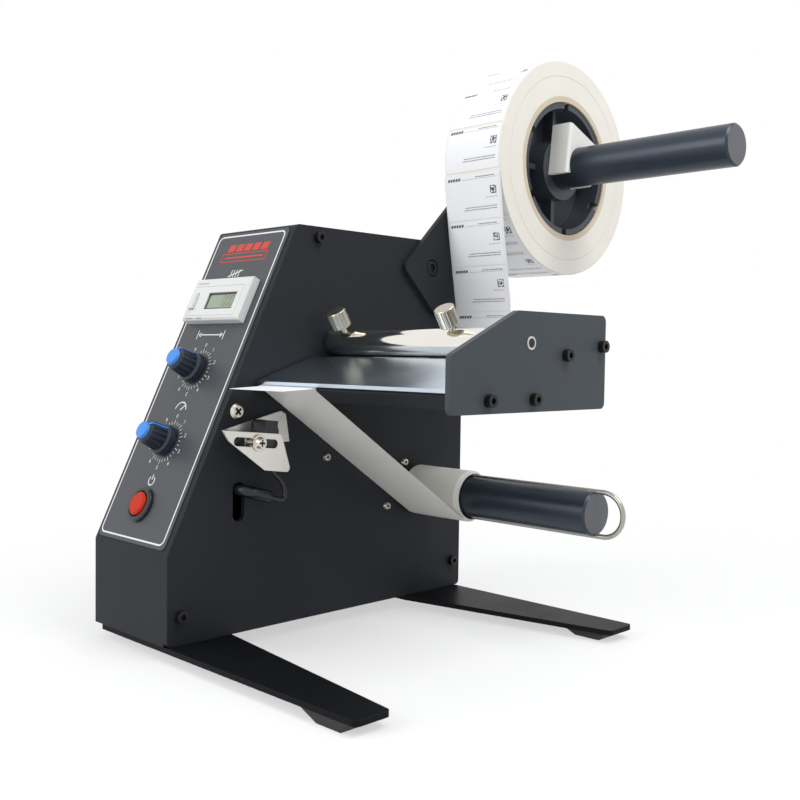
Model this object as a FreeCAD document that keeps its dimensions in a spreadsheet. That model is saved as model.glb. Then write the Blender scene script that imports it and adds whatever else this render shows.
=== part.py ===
import FreeCAD, Part
import Sketcher
import math
import os
import re
from types import SimpleNamespace

# Automatic label dispenser: a side plate with a cantilevered supply shaft, peel table and take-up.
# Machine frame while modelling: X = 0 is the side plate's outer face and X grows along the shafts,
# Y = 0 is the front of the housing and Y grows to the back, Z = 0 is the housing's underside.

Vector = FreeCAD.Vector
doc = FreeCAD.newDocument("LabelDispenser")
sheet = doc.addObject("Spreadsheet::Sheet", "Sizes")
worked = doc.addObject("Spreadsheet::Sheet", "WorkedOut")

# Driving dimensions in millimetres and degrees
SIZES = [
    ("housing_width", 65), ("housing_depth", 199.6), ("housing_height", 199.6),
    ("front_height", 42.2), ("slope_depth", 74.2), ("bend_radius", 2.5),
    ("side_plate_thick", 3), ("sheet_thick", 1.5), ("base_thick", 2), ("corner_radius", 2.5),
    ("leg_thick", 2.5), ("foot_height", 4.2), ("leg_tip_radius", 2.5), ("leg_inner_reach", 60),
    ("front_leg_reach", 126.5), ("front_leg_root", 36), ("front_leg_tip", 18.5),
    ("rear_leg_reach", 121), ("rear_leg_root", 42), ("rear_leg_tip", 19), ("rear_leg_inset", 3.6),
    ("foot_length", 28), ("foot_inner_slope", 10), ("foot_outer_slope", 4), ("foot_width", 17), ("foot_end_gap", 4.5),
    ("pad_radius", 9), ("pad_x", 49),
    ("fit_gap", 0.06), ("bolt_gap", 0.2), ("clear_gap", 0.3),
    ("outer_plate_x", 124.8), ("outer_plate_thick", 3), ("outer_front", 48), ("outer_bottom", 111),
    ("outer_front_top", 135.2), ("outer_slope_back", 90.4), ("outer_top", 154.5),
    ("outer_back", 156), ("outer_corner", 3),
    ("nose_y", 48.2), ("nose_z", 121.5), ("knee_y", 83.4), ("table_z", 133.5), ("table_back", 113),
    ("peel_plate_thick", 1.8), ("peel_plate_start", 1.2), ("peel_plate_margin", 0.3),
    ("web_room", 0.9), ("bed_bottom", 112.6), ("bed_nose_radius", 0.8), ("bed_back", 111),
    ("bar_y", 99.3), ("bar_z", 140.8), ("bar_radius", 7), ("bar_end_gap", 0.4),
    ("axle_radius", 3), ("bush_radius", 7.2), ("bush_flange", 1.1), ("bush_sleeve_radius", 6),
    ("thumb_left_x", 12), ("thumb_right_x", 85.4), ("thumb_tilt", 32), ("thumb_head_radius", 4.9),
    ("thumb_head_height", 9), ("thumb_lift", 2.5), ("thumb_stem_radius", 1.5), ("thumb_depth", 3),
    ("rod_radius", 4), ("rod_front_y", 124.6), ("rod_front_z", 135.8), ("rod_rear_y", 152.3),
    ("rod_rear_z", 140.1), ("collar_radius", 8), ("collar_length", 8),
    ("screw_radius", 1.5), ("screw_bite", 9), ("cap_head_radius", 2.8), ("cap_head_height", 3),
    ("web_start", 4), ("web_width", 40), ("paper_thick", 0.2),
    ("supply_y", 238.8), ("supply_z", 244.1), ("shaft_radius", 11), ("supply_end", 149),
    ("roll_radius", 61), ("core_radius", 38), ("core_wall", 3), ("hub_boss_radius", 17.5),
    ("hub_rim_wall", 3.6), ("hub_web_thick", 3), ("hub_rib_thick", 3), ("hub_recess", 3.5),
    ("hub_ribs", 4), ("hub_notches", 6), ("hub_notch_width", 4), ("hub_notch_depth", 5),
    ("arm_thick", 3), ("arm_width", 38), ("arm_shift", 3), ("arm_lower", 107.5),
    ("arm_upper", 22), ("arm_angle", 45), ("arm_corner", 3), ("arm_screw_radius", 2.5),
    ("arm_head_radius", 4.2), ("arm_head_height", 2), ("arm_sink_radius", 4.8), ("arm_sink", 2.1),
    ("clip_depth", 13.2), ("clip_front", 13.4), ("clip_crown", 9.9), ("clip_top", 24),
    ("clip_rear", 15), ("clip_rear_top", 14), ("clip_jaw", 4.5), ("clip_bottom", 10.4),
    ("clip_tip", 8.6), ("clip_tip_width", 4), ("clip_tip_rise", 2), ("clip_round", 1.8),
    ("takeup_y", 161), ("takeup_z", 60), ("takeup_end", 121.6), ("winding_radius", 13.7),
    ("winding_step", 0.8), ("winding_gap", 0.2),
    ("wire_radius", 1.25), ("wire_lane", 10.7), ("wire_start", 9), ("wire_reach", 4),
    ("journal_radius", 6), ("spindle_radius", 4), ("bearing_radius", 10),
    ("bearing_flange_radius", 13.5), ("bearing_flange", 1.2),
    ("gearbox_radius", 18.5), ("gearbox_length", 28), ("gearbox_offset", 8.7),
    ("motor_radius", 18), ("motor_length", 27), ("motor_pcd", 31),
    ("small_head_radius", 2.4), ("small_head_height", 1.6),
    ("board_y", 85), ("board_z", 76), ("board_width", 40), ("board_height", 46),
    ("board_thick", 1.6), ("standoff_length", 10), ("standoff_radius", 3),
    ("board_screw_y", 94.8), ("board_screw_z", 81.7), ("board_screw_pitch", 22),
    ("slot_y", 39.5), ("slot_z", 63.5), ("slot_width", 7), ("slot_height", 19),
    ("panel_x", -35.6), ("panel_margin", 1.8), ("overlay_thick", 0.5), ("overlay_corner", 3),
    ("counter_s", 130.5), ("counter_width", 48), ("counter_height", 24), ("counter_proud", 5),
    ("counter_body_width", 44.5), ("counter_body_height", 22), ("counter_body_depth", 30),
    ("counter_chamfer", 1), ("window_shift", 4.4), ("window_drop", 1.4), ("window_width", 24),
    ("window_height", 9.4), ("window_recess", 1.2), ("reset_shift", 18.5),
    ("reset_width", 4), ("reset_height", 9), ("reset_proud", 1.6), ("reset_depth", 3),
    ("length_knob_s", 92.7), ("speed_knob_s", 53.6), ("knob_base_radius", 7.8),
    ("knob_body_radius", 6.7), ("knob_top_radius", 5.8), ("knob_crown", 1.1), ("knob_height", 14.4), ("knob_lift", 1.2), ("knob_skirt", 3),
    ("knob_flutes", 14), ("flute_radius", 1.1), ("knob_cap_radius", 4.4), ("knob_cap_proud", 1.5),
    ("pot_radius", 8.2), ("pot_depth", 9), ("pot_bushing_radius", 3.5), ("pot_shaft_radius", 3),
    ("pot_nut_radius", 5), ("pot_nut_height", 2),
    ("button_s", 20.5), ("button_radius", 5.8), ("button_proud", 3.5), ("button_travel", 2.5),
    ("bezel_radius", 8.7), ("bezel_height", 2.2), ("button_gap", 0.9), ("switch_radius", 6.6), ("switch_depth", 22),
    ("inlet_x", -34), ("inlet_z", 30), ("inlet_radius", 6), ("inlet_flange_radius", 8.5),
    ("inlet_depth", 14), ("inlet_hole_radius", 3),
    ("bracket_thick", 1.2), ("bracket_gap", 10.8), ("sensor_y", 41.3), ("sensor_drop", 14.3),
    ("sensor_tilt", -5.8), ("sensor_slot_width", 4.2), ("sensor_screw_radius", 1.5),
    ("washer_radius", 4), ("lead_radius", 1.2), ("sleeve_radius", 3),
    ("cross_y", 38), ("cross_drop", 15.8), ("cross_head_radius", 3.9), ("cross_head_height", 1.6),
]
for row, (alias, amount) in enumerate(SIZES, start=1):
    sheet.set(f"A{row}", alias)
    sheet.set(f"B{row}", str(amount))
    sheet.setAlias(f"B{row}", alias)
doc.recompute()
size = SimpleNamespace(**{alias: float(sheet.get(alias)) for alias, _ in SIZES})
ALIASES = {alias for alias, _ in SIZES}

# Places that several pieces share
STAND = "leg_thick + foot_height"
SLOPE_RISE = "(housing_height - front_height)"
SLOPE_LENGTH = f"sqrt(slope_depth ^ 2 + {SLOPE_RISE} ^ 2)"
WEB_END = "web_start + web_width"
ORIGIN_X = "(supply_end - housing_width) / 2"
ORIGIN_Y = "(supply_y + roll_radius) / 2"
slope_rise = size.housing_height - size.front_height
slope_length = math.hypot(size.slope_depth, slope_rise)
panel_angle = math.degrees(math.atan2(slope_rise, size.slope_depth))
centre = Vector((size.supply_end - size.housing_width) / 2, (size.supply_y + size.roll_radius) / 2,
                -size.leg_thick - size.foot_height)
web_end = size.web_start + size.web_width
knob_spots = {"length": "length_knob_s", "speed": "speed_knob_s"}
motor_angles = (90, 150, 210)
motor_holes = [(f"takeup_y - gearbox_offset + motor_pcd / 2 * cos({angle} deg)",
                f"takeup_z + motor_pcd / 2 * sin({angle} deg)") for angle in motor_angles]
board_holes = [("board_screw_y", "board_screw_z"),
               ("board_screw_y + board_screw_pitch", "board_screw_z")]
bed_holes = [("71.2", "116.5"), ("101.5", "116.5")]
rod_holes = [("rod_front_y", "rod_front_z"), ("rod_rear_y", "rod_rear_z")]
cover_holes = [("88", "housing_height - 5.6"), ("7", "13.5"), ("housing_depth - 7.1", "15")]
arm_holes = [("-91", "6.2"), ("-79", "-8")]

pieces = []


def formula(text):
    """Turn words of the size sheet into references to its cells."""
    return re.sub(r"[a-z_]+", lambda word: "Sizes." + word.group()
                  if word.group() in ALIASES else word.group(), str(text))


def machine_seat():
    return FreeCAD.Placement(-centre, FreeCAD.Rotation())


def panel_seat(x="panel_x", s="0"):
    """Local Z leaves the slanted panel, local Y runs up it; x and s place the local origin."""
    across, up = amount_of(x), amount_of(s)
    spot = Vector(across, up * size.slope_depth / slope_length,
                  size.front_height + up * slope_rise / slope_length)
    return FreeCAD.Placement(spot - centre, FreeCAD.Rotation(Vector(1, 0, 0), panel_angle))


def shaft_seat(y, z):
    """Local Z runs along the machine's X."""
    return FreeCAD.Placement(Vector(0, y, z) - centre, FreeCAD.Rotation(Vector(0, 1, 0), 90))


def amount_of(word):
    return getattr(size, word) if word in ALIASES else float(word)


def keep(piece, label, seat):
    """Name a finished sub-part and set it in the object's own frame."""
    piece.Label = label
    piece.Placement = seat
    pieces.append(piece)
    return piece


def new_body(name):
    return doc.addObject("PartDesign::Body", name + "_body")


def sketch_on(piece, name, role, offset="0"):
    drawing = piece.newObject("Sketcher::SketchObject", name)
    plane = next(p for p in piece.Origin.OriginFeatures if p.Role == role)
    drawing.AttachmentSupport = (plane, [""])
    drawing.MapMode = "FlatFace"
    drawing.setExpression("AttachmentOffset.Base.z", formula(offset))
    return drawing


def bind_point(drawing, line, end, across, up):
    for kind, text in (("DistanceX", across), ("DistanceY", up)):
        number = drawing.addConstraint(Sketcher.Constraint(kind, -1, 1, line, end, 1.0))
        drawing.setExpression(f"Constraints[{number}]", formula(text))


def polygon(drawing, corners):
    """Closed straight outline; each corner is a pair of formulas."""
    count = len(corners)
    rough = [Vector(math.cos(6.28 * i / count), math.sin(6.28 * i / count), 0) for i in range(count)]
    lines = [drawing.addGeometry(Part.LineSegment(rough[i], rough[(i + 1) % count]))
             for i in range(count)]
    for i in range(count):
        drawing.addConstraint(Sketcher.Constraint("Coincident", lines[i], 2, lines[(i + 1) % count], 1))
    for line, (across, up) in zip(lines, corners):
        bind_point(drawing, line, 1, across, up)


def circle(drawing, across, up, radius):
    ring = drawing.addGeometry(Part.Circle(Vector(0, 0, 0), Vector(0, 0, 1), 1))
    bind_point(drawing, ring, 3, across, up)
    number = drawing.addConstraint(Sketcher.Constraint("Radius", ring, 1.0))
    drawing.setExpression(f"Constraints[{number}]", formula(radius))


def pad(piece, drawing, length):
    feature = piece.newObject("PartDesign::Pad", drawing.Name + "_pad")
    feature.Profile = drawing
    feature.setExpression("Length", formula(length))
    drawing.Visibility = False
    return feature


def pocket(piece, drawing, length=None):
    """Cut along the sketch's own normal by a length, or right through both ways."""
    feature = piece.newObject("PartDesign::Pocket", drawing.Name + "_pocket")
    feature.Profile = drawing
    if length is None:
        feature.Midplane = True
        feature.Type = "ThroughAll"
    else:
        feature.Reversed = True
        feature.setExpression("Length", formula(length))
    drawing.Visibility = False
    return feature


def repeat_round(piece, feature, drawing, count):
    """Polar pattern of one feature about the sketch's normal through the origin."""
    pattern = piece.newObject("PartDesign::PolarPattern", feature.Name + "_pattern")
    pattern.Originals = [feature]
    pattern.Axis = (drawing, ["N_Axis"])
    pattern.Angle = 360
    pattern.Occurrences = int(count)
    piece.Tip = pattern
    return pattern


def soften(piece, feature, radius, direction, kind="Fillet", near=None):
    """Round or chamfer the straight edges that run along one direction."""
    doc.recompute()
    names = []
    for number, edge in enumerate(feature.Shape.Edges, start=1):
        if edge.Curve.TypeId != "Part::GeomLine" or len(edge.Vertexes) < 2:
            continue
        run = (edge.Vertexes[1].Point - edge.Vertexes[0].Point).normalize()
        if abs(abs(run.dot(direction)) - 1) > 1e-6:
            continue
        if near is None or near(edge.CenterOfMass):
            names.append(f"Edge{number}")
    rounding = piece.newObject("PartDesign::" + kind, feature.Name + "_" + kind.lower())
    rounding.Base = (feature, names)
    rounding.setExpression("Radius" if kind == "Fillet" else "Size", formula(radius))
    return rounding


def turn(piece, name, profile):
    """Revolve a profile of (radius, height) about the body's own Z axis."""
    drawing = sketch_on(piece, name, "XZ_Plane")
    polygon(drawing, profile)
    feature = piece.newObject("PartDesign::Revolution", name + "_turn")
    feature.Profile = drawing
    feature.ReferenceAxis = (drawing, ["V_Axis"])
    feature.Angle = 360
    drawing.Visibility = False
    return feature


def turned(label, profile, seat):
    piece = new_body(label)
    turn(piece, label + "_profile", profile)
    return keep(piece, label, seat)


def plate(label, outline, start, thick, holes=(), corner=None):
    """Flat piece parallel to the side plate: outline in Y and Z, thickness along X."""
    piece = new_body(label)
    drawing = sketch_on(piece, label + "_outline", "YZ_Plane", start)
    polygon(drawing, outline)
    feature = pad(piece, drawing, thick)
    if corner is not None:
        soften(piece, feature, corner, Vector(1, 0, 0))
    if holes:
        cuts = sketch_on(piece, label + "_holes", "YZ_Plane", start)
        for across, up, radius in holes:
            circle(cuts, across, up, radius)
        pocket(piece, cuts)
    return piece


def shaped(label, shape, seat=None):
    """Sub-part whose solid is built from the sheet's sizes by the functions below."""
    piece = doc.addObject("Part::Feature", label + "_solid")
    piece.Shape = shape
    return keep(piece, label, seat or machine_seat())


def compound_of(shape, places):
    copies = []
    for place in places:
        copy = shape.copy()
        copy.Placement = place
        copies.append(copy)
    return Part.Compound(copies)


def evaluate(text):
    """Value of one formula of sizes, worked out in a cell of the second sheet."""
    worked.set("A1", "=" + formula(text))
    worked.recompute()
    return float(worked.get("A1"))


def at(points, x):
    return [Vector(x, evaluate(across), evaluate(up)) for across, up in points]


def cap_screw(head_radius, head_height, stem_radius, reach):
    """Socket screw, head outwards along +X from X = 0, thread back along -X."""
    along = Vector(1, 0, 0)
    head = Part.makeCylinder(head_radius, head_height, Vector(), along)
    stem = Part.makeCylinder(stem_radius, reach, Vector(-reach, 0, 0), along)
    socket_corners = [Vector(head_height * 0.4, stem_radius * math.cos(turn_by),
                             stem_radius * math.sin(turn_by))
                      for turn_by in [math.pi / 3 * side for side in range(7)]]
    socket = Part.Face(Part.makePolygon(socket_corners)).extrude(Vector(head_height, 0, 0))
    return head.fuse(stem).cut(socket).removeSplitter()


def pan_screw(head_radius, head_height, stem_radius, reach):
    """Low screw with a sloping head along +X from X = 0, and a cross recess."""
    along = Vector(1, 0, 0)
    head = Part.makeCone(head_radius, head_radius * 0.72, head_height, Vector(), along)
    stem = Part.makeCylinder(stem_radius, reach, Vector(-reach, 0, 0), along)
    width = head_radius * 0.3
    depth = head_height * 0.85
    arms = [Part.makeBox(depth, head_radius * 1.1, width,
                         Vector(head_height - depth, -head_radius * 0.55, -width / 2)),
            Part.makeBox(depth, width, head_radius * 1.1,
                         Vector(head_height - depth, -width / 2, -head_radius * 0.55))]
    return head.fuse(stem).cut(arms[0]).cut(arms[1]).removeSplitter()


def path_side(points, radii, offset):
    """Edges beside a bent line in the Y-Z plane: straight runs and the arcs of its corners."""
    count = len(points)
    runs = [(points[i + 1] - points[i]).normalize() for i in range(count - 1)]
    normals = [Vector(0, -run.z, run.y) for run in runs]
    edges = []
    here = points[0] + normals[0] * offset
    for i in range(1, count - 1):
        before, after = runs[i - 1], runs[i]
        half = math.acos(max(-1.0, min(1.0, before.dot(after)))) / 2
        reach = radii[i - 1] * math.tan(half)
        side = 1 if before.cross(after).x > 0 else -1
        middle = points[i] - before * reach + normals[i - 1] * (side * radii[i - 1])
        start = points[i] - before * reach + normals[i - 1] * offset
        end = points[i] + after * reach + normals[i] * offset
        bow = (points[i] - middle).normalize() * (radii[i - 1] - side * offset)
        if (start - here).Length > 1e-6:
            edges.append(Part.LineSegment(here, start).toShape())
        edges.append(Part.Arc(start, middle + bow, end).toShape())
        here = end
    last = points[-1] + normals[-1] * offset
    edges.append(Part.LineSegment(here, last).toShape())
    return edges, points[0] + normals[0] * offset, last


def ribbon(points, radii, low, high, start, width):
    """Bent strip: a line in Y and Z with rounded corners, thick from low to high, wide along X."""
    spots = [Vector(start, y, z) for y, z in points]
    near, near_start, near_end = path_side(spots, radii, low)
    far, far_start, far_end = path_side(spots, radii, high)
    edges = near + [Part.LineSegment(near_end, far_end).toShape()]
    edges += far + [Part.LineSegment(far_start, near_start).toShape()]
    outline = Part.Wire(Part.__sortEdges__(edges))
    return Part.Face(outline).extrude(Vector(width, 0, 0))


def tube(points, radius):
    """Round tube along straight runs joined by tangent arcs; prints each arc's radius."""
    edges = []
    here = points[0]
    for i in range(1, len(points) - 1):
        before = points[i] - points[i - 1]
        after = points[i + 1] - points[i]
        half = before.getAngle(after) / 2
        bend = 0.45 * min(before.Length, after.Length) / math.tan(half)
        reach = bend * math.tan(half)
        back, ahead = before.normalize(), after.normalize()
        start, end = points[i] - back * reach, points[i] + ahead * reach
        inward = (ahead - back).normalize()
        middle = points[i] + inward * (bend / math.cos(half) - bend)
        edges.append(Part.LineSegment(here, start).toShape())
        edges.append(Part.Arc(start, middle, end).toShape())
        here = end
        print(f"bend radius {bend:.1f}")
    edges.append(Part.LineSegment(here, points[-1]).toShape())
    path = Part.Wire(edges)
    ring = Part.Wire(Part.makeCircle(radius, points[0], points[1] - points[0]))
    solid = path.makePipeShell([ring], True, False)
    print(f"tube volume {solid.Volume:.1f} of {math.pi * radius ** 2 * path.Length:.1f}")
    return solid


# Side plate: thick flat plate that carries the shafts, the peel table and the drive
HOUSING = [("0", "0"), ("housing_depth", "0"), ("housing_depth", "housing_height"),
           ("slope_depth", "housing_height"), ("0", "front_height")]
thread = "screw_radius + bolt_gap"
plate_holes = [("bar_y", "bar_z", "bush_sleeve_radius"), ("takeup_y", "takeup_z", "bearing_radius")]
plate_holes += [(y, z, thread) for y, z in motor_holes + board_holes + cover_holes + rod_holes + bed_holes]
CROSS_Z = f"front_height + {SLOPE_RISE} * cross_y / slope_depth - cross_drop"
plate_holes += [("cross_y", CROSS_Z, thread)]
arm_turn = math.radians(size.arm_angle)
for along, across in arm_holes:
    plate_holes.append((f"supply_y + {along} * cos(arm_angle * 1 deg) - {across} * sin(arm_angle * 1 deg)",
                        f"supply_z + {along} * sin(arm_angle * 1 deg) + {across} * cos(arm_angle * 1 deg)",
                        "arm_screw_radius + bolt_gap"))
side_plate = plate("side_plate", HOUSING, "-side_plate_thick", "side_plate_thick", plate_holes,
                   "corner_radius")
slot = sketch_on(side_plate, "cable_slot", "YZ_Plane", "-side_plate_thick")
SLOT_SIDES = ("slot_y - slot_width / 2", "slot_y + slot_width / 2")
SLOT_ENDS = ("slot_z - slot_height / 2", "slot_z + slot_height / 2")
polygon(slot, [(SLOT_SIDES[0], SLOT_ENDS[0]), (SLOT_SIDES[1], SLOT_ENDS[0]),
               (SLOT_SIDES[1], SLOT_ENDS[1]), (SLOT_SIDES[0], SLOT_ENDS[1])])
slot_cut = pocket(side_plate, slot)


def in_slot(point):
    return (abs(point.y - size.slot_y) < size.slot_width / 2 + 0.1
            and abs(point.z - size.slot_z) < size.slot_height / 2 + 0.1)


soften(side_plate, slot_cut, "slot_width / 2 - 0.05", Vector(1, 0, 0), near=in_slot)
keep(side_plate, "side_plate", machine_seat())

# Housing cover: one folded sheet with a welded left wall, open underneath and to the side plate
cover = new_body("housing_cover")
wall = sketch_on(cover, "cover_wall", "YZ_Plane", "-housing_width")
polygon(wall, HOUSING)
pad(cover, wall, "sheet_thick")
INNER_TOP_Y = ("(slope_depth * (housing_height - sheet_thick - front_height) + sheet_thick * "
               f"{SLOPE_LENGTH}) / {SLOPE_RISE}")
INNER_FRONT_Z = f"front_height + sheet_thick * ({SLOPE_RISE} - {SLOPE_LENGTH}) / slope_depth"
INNER_BACK = "housing_depth - sheet_thick"
wrap = sketch_on(cover, "cover_wrap", "YZ_Plane", "-housing_width")
polygon(wrap, [("0", "0"), ("0", "front_height"), ("slope_depth", "housing_height"),
               ("housing_depth", "housing_height"), ("housing_depth", "0"), (INNER_BACK, "0"),
               (INNER_BACK, "housing_height - sheet_thick"),
               (INNER_TOP_Y, "housing_height - sheet_thick"),
               ("sheet_thick", INNER_FRONT_Z), ("sheet_thick", "0")])
wrap_pad = pad(cover, wrap, "housing_width - side_plate_thick")


def on_fold(point):
    folds = [(0, size.front_height), (size.slope_depth, size.housing_height),
             (size.housing_depth, size.housing_height)]
    return any(math.hypot(point.y - y, point.z - z) < 0.01 for y, z in folds)


soften(cover, wrap_pad, "bend_radius", Vector(1, 0, 0), near=on_fold)
doc.recompute()


def cutter_seat(s, back_x, back_y):
    """Seat of a cutter that goes through the panel, moved back by half its size."""
    shift = FreeCAD.Placement(Vector(-back_x, -back_y, -size.sheet_thick * 2), FreeCAD.Rotation())
    return FreeCAD.Placement(centre, FreeCAD.Rotation()) * panel_seat("panel_x", s) * shift


panel_cuts = []
for name, s, radius in (("length", "length_knob_s", "pot_bushing_radius + bolt_gap"),
                        ("speed", "speed_knob_s", "pot_bushing_radius + bolt_gap"),
                        ("button", "button_s", "switch_radius + bolt_gap")):
    drill = doc.addObject("Part::Cylinder", name + "_panel_hole")
    drill.setExpression("Radius", formula(radius))
    drill.setExpression("Height", formula("sheet_thick * 4"))
    drill.Placement = cutter_seat(s, 0, 0)
    panel_cuts.append(drill)
opening = doc.addObject("Part::Box", "counter_opening")
opening.setExpression("Length", formula("counter_body_width + 2 * bolt_gap"))
opening.setExpression("Width", formula("counter_body_height + 2 * bolt_gap"))
opening.setExpression("Height", formula("sheet_thick * 4"))
opening.Placement = cutter_seat("counter_s", size.counter_body_width / 2 + size.bolt_gap,
                                size.counter_body_height / 2 + size.bolt_gap)
panel_cuts.append(opening)
inlet_hole = doc.addObject("Part::Cylinder", "inlet_hole")
inlet_hole.setExpression("Radius", formula("inlet_radius + bolt_gap"))
inlet_hole.setExpression("Height", formula("sheet_thick * 4"))
inlet_hole.Placement = FreeCAD.Placement(
    Vector(size.inlet_x, size.housing_depth - size.sheet_thick * 2, size.inlet_z),
    FreeCAD.Rotation(Vector(1, 0, 0), -90))
panel_cuts.append(inlet_hole)
all_cuts = doc.addObject("Part::MultiFuse", "cover_cuts")
all_cuts.Shapes = panel_cuts
cover_cut = doc.addObject("Part::Cut", "housing_cover_cut")
cover_cut.Base = cover
cover_cut.Tool = all_cuts
keep(cover_cut, "housing_cover", machine_seat())

# Base plate: closes the housing from below and takes the leg screws
leg_spots = [(x, y) for x in ("-30", "-12") for y in ("18", "housing_depth - rear_leg_inset - 21")]
base = new_body("base_plate")
base_outline = sketch_on(base, "base_outline", "XY_Plane")
polygon(base_outline, [("sheet_thick - housing_width", "sheet_thick"), ("-side_plate_thick", "sheet_thick"),
                       ("-side_plate_thick", INNER_BACK), ("sheet_thick - housing_width", INNER_BACK)])
pad(base, base_outline, "base_thick")
base_holes = sketch_on(base, "base_holes", "XY_Plane")
for x, y in leg_spots:
    circle(base_holes, x, y, "screw_radius + bolt_gap")
pocket(base, base_holes)
keep(base, "base_plate", machine_seat())

# Corner blocks: small threaded blocks on the cover's inside that the side plate screws into
block_reach = 10
block_start = -block_reach - size.side_plate_thick
blocks = []
for spot, (to_front, to_back) in zip(at(cover_holes, 0), ((0, 0), (1.4, 0), (0, 1.5))):
    block = Part.makeBox(block_reach, 8 + to_front + to_back, 8,
                         Vector(block_start, spot.y - 4 - to_front, spot.z - 4))
    blocks.append(block.cut(Part.makeCylinder(size.screw_radius + size.bolt_gap, block_reach,
                                              Vector(block_start, spot.y, spot.z), Vector(1, 0, 0))))
shaped("corner_blocks", Part.Compound(blocks))

# Legs: flat tapered bars screwed under the base, with a sole under each outer end
REAR_EDGE = "housing_depth - rear_leg_inset"
for label, corners in (
        ("front_leg", [("-leg_inner_reach", "0"), ("front_leg_reach", "0"),
                       ("front_leg_reach", "front_leg_tip"), ("0", "front_leg_root"),
                       ("-leg_inner_reach", "front_leg_root")]),
        ("rear_leg", [("-leg_inner_reach", REAR_EDGE + " - rear_leg_root"),
                      ("0", REAR_EDGE + " - rear_leg_root"),
                      ("rear_leg_reach", REAR_EDGE + " - rear_leg_tip"),
                      ("rear_leg_reach", REAR_EDGE), ("-leg_inner_reach", REAR_EDGE)])):
    leg = new_body(label)
    leg_outline = sketch_on(leg, label + "_outline", "XY_Plane", "-leg_thick")
    polygon(leg_outline, corners)
    leg_pad = pad(leg, leg_outline, "leg_thick")
    soften(leg, leg_pad, "leg_tip_radius", Vector(0, 0, 1), near=lambda point: abs(point.x) > 1)
    leg_holes = sketch_on(leg, label + "_holes", "XY_Plane", "-leg_thick")
    for x, y in leg_spots:
        if (y == "18") == (label == "front_leg"):
            circle(leg_holes, x, y, "screw_radius + bolt_gap")
    pocket(leg, leg_holes)
    keep(leg, label, machine_seat())


def sole(tip_x, side_y):
    """Moulded foot: a block with sloping ends under a leg."""
    top = -size.leg_thick
    low = top - size.foot_height
    outer = tip_x - size.foot_end_gap
    corners = [Vector(outer - size.foot_length, side_y, top), Vector(outer, side_y, top),
               Vector(outer - size.foot_outer_slope, side_y, low),
               Vector(outer - size.foot_length + size.foot_inner_slope, side_y, low)]
    block_face = Part.Face(Part.makePolygon(corners + corners[:1]))
    return block_face.extrude(Vector(0, size.foot_width, 0))


rear_edge = size.housing_depth - size.rear_leg_inset
edge_step = 0.4
shaped("outer_feet", Part.Compound([
    sole(size.front_leg_reach, edge_step),
    sole(size.rear_leg_reach, rear_edge - size.foot_width - edge_step)]))
rubber = Part.makeCylinder(size.pad_radius, size.foot_height)
rubber = rubber.makeChamfer(0.8, [rubber.Edges[2]]).removeSplitter()
pad_z = -size.leg_thick - size.foot_height
shaped("inner_feet", compound_of(rubber, [
    FreeCAD.Placement(Vector(-size.pad_x, y, pad_z), FreeCAD.Rotation())
    for y in (18, rear_edge - 21)]))

# Leg screws: from below through leg and base plate
leg_screw = pan_screw(3.5, 2, size.screw_radius, size.leg_thick + size.base_thick + 2)
leg_turn = FreeCAD.Rotation(Vector(0, 1, 0), 90)
shaped("leg_screws", compound_of(leg_screw, [
    FreeCAD.Placement(Vector(float(x), evaluate(y), -size.leg_thick), leg_turn)
    for x, y in leg_spots]))

# Outer plate: the far cheek of the peel table
outer_holes = [(y, z, thread) for y, z in bed_holes + rod_holes]
outer_holes.append(("bar_y", "bar_z", "axle_radius"))
outer = plate("outer_plate", [("outer_front", "outer_bottom"), ("outer_back", "outer_bottom"),
                              ("outer_back", "outer_top"), ("outer_slope_back", "outer_top"),
                              ("outer_front", "outer_front_top")],
              "outer_plate_x", "outer_plate_thick", outer_holes, "outer_corner")
keep(outer, "outer_plate", machine_seat())
cap_sizes = (size.cap_head_radius, size.cap_head_height, size.screw_radius)
cap = cap_screw(*cap_sizes, size.outer_plate_thick + size.screw_bite)
outer_face = size.outer_plate_x + size.outer_plate_thick
shaped("outer_plate_screws", compound_of(cap, [
    FreeCAD.Placement(p, FreeCAD.Rotation()) for p in at(bed_holes + rod_holes, outer_face)]))
cover_cap = cap_screw(*cap_sizes, size.side_plate_thick + size.screw_bite)
shaped("cover_screws", compound_of(cover_cap, [
    FreeCAD.Placement(p, FreeCAD.Rotation()) for p in at(cover_holes, 0)]))
cross_head = pan_screw(size.cross_head_radius, size.cross_head_height, size.screw_radius, size.screw_bite)
shaped("cross_screw", compound_of(cross_head, [
    FreeCAD.Placement(p, FreeCAD.Rotation(Vector(1, 0, 0), 40)) for p in at([("cross_y", CROSS_Z)], 0)]))

# Peel bed: black bar with a rounded nose; its top follows the peel plate and its front the liner
slant = math.atan2(size.table_z - size.nose_z, size.knee_y - size.nose_y)
plate_points = [(size.nose_y, size.nose_z), (size.knee_y, size.table_z), (size.table_back, size.table_z)]
plate_bend = 6.0
bed_offset = -size.peel_plate_thick - size.web_room
nose = Vector(0, size.nose_y - bed_offset * math.sin(slant), size.nose_z + bed_offset * math.cos(slant))
axis = Vector(0, size.takeup_y, size.takeup_z)
liner_touch = size.winding_radius + size.clear_gap + size.paper_thick / 2
span = axis - nose
liner_angle = math.atan2(span.z, span.y) - math.asin(liner_touch / span.Length)
liner_run = Vector(0, math.cos(liner_angle), math.sin(liner_angle))
knee_shift = bed_offset * math.tan(slant / 2)
bed_top = size.table_z + bed_offset
bed_corners = [nose, Vector(0, size.knee_y - knee_shift, bed_top), Vector(0, size.bed_back, bed_top),
               Vector(0, size.bed_back, size.bed_bottom),
               nose + liner_run * ((size.bed_bottom - nose.z) / liner_run.z)]
bed = Part.Face(Part.makePolygon(bed_corners + bed_corners[:1])).extrude(
    Vector(size.outer_plate_x, 0, 0))
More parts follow.
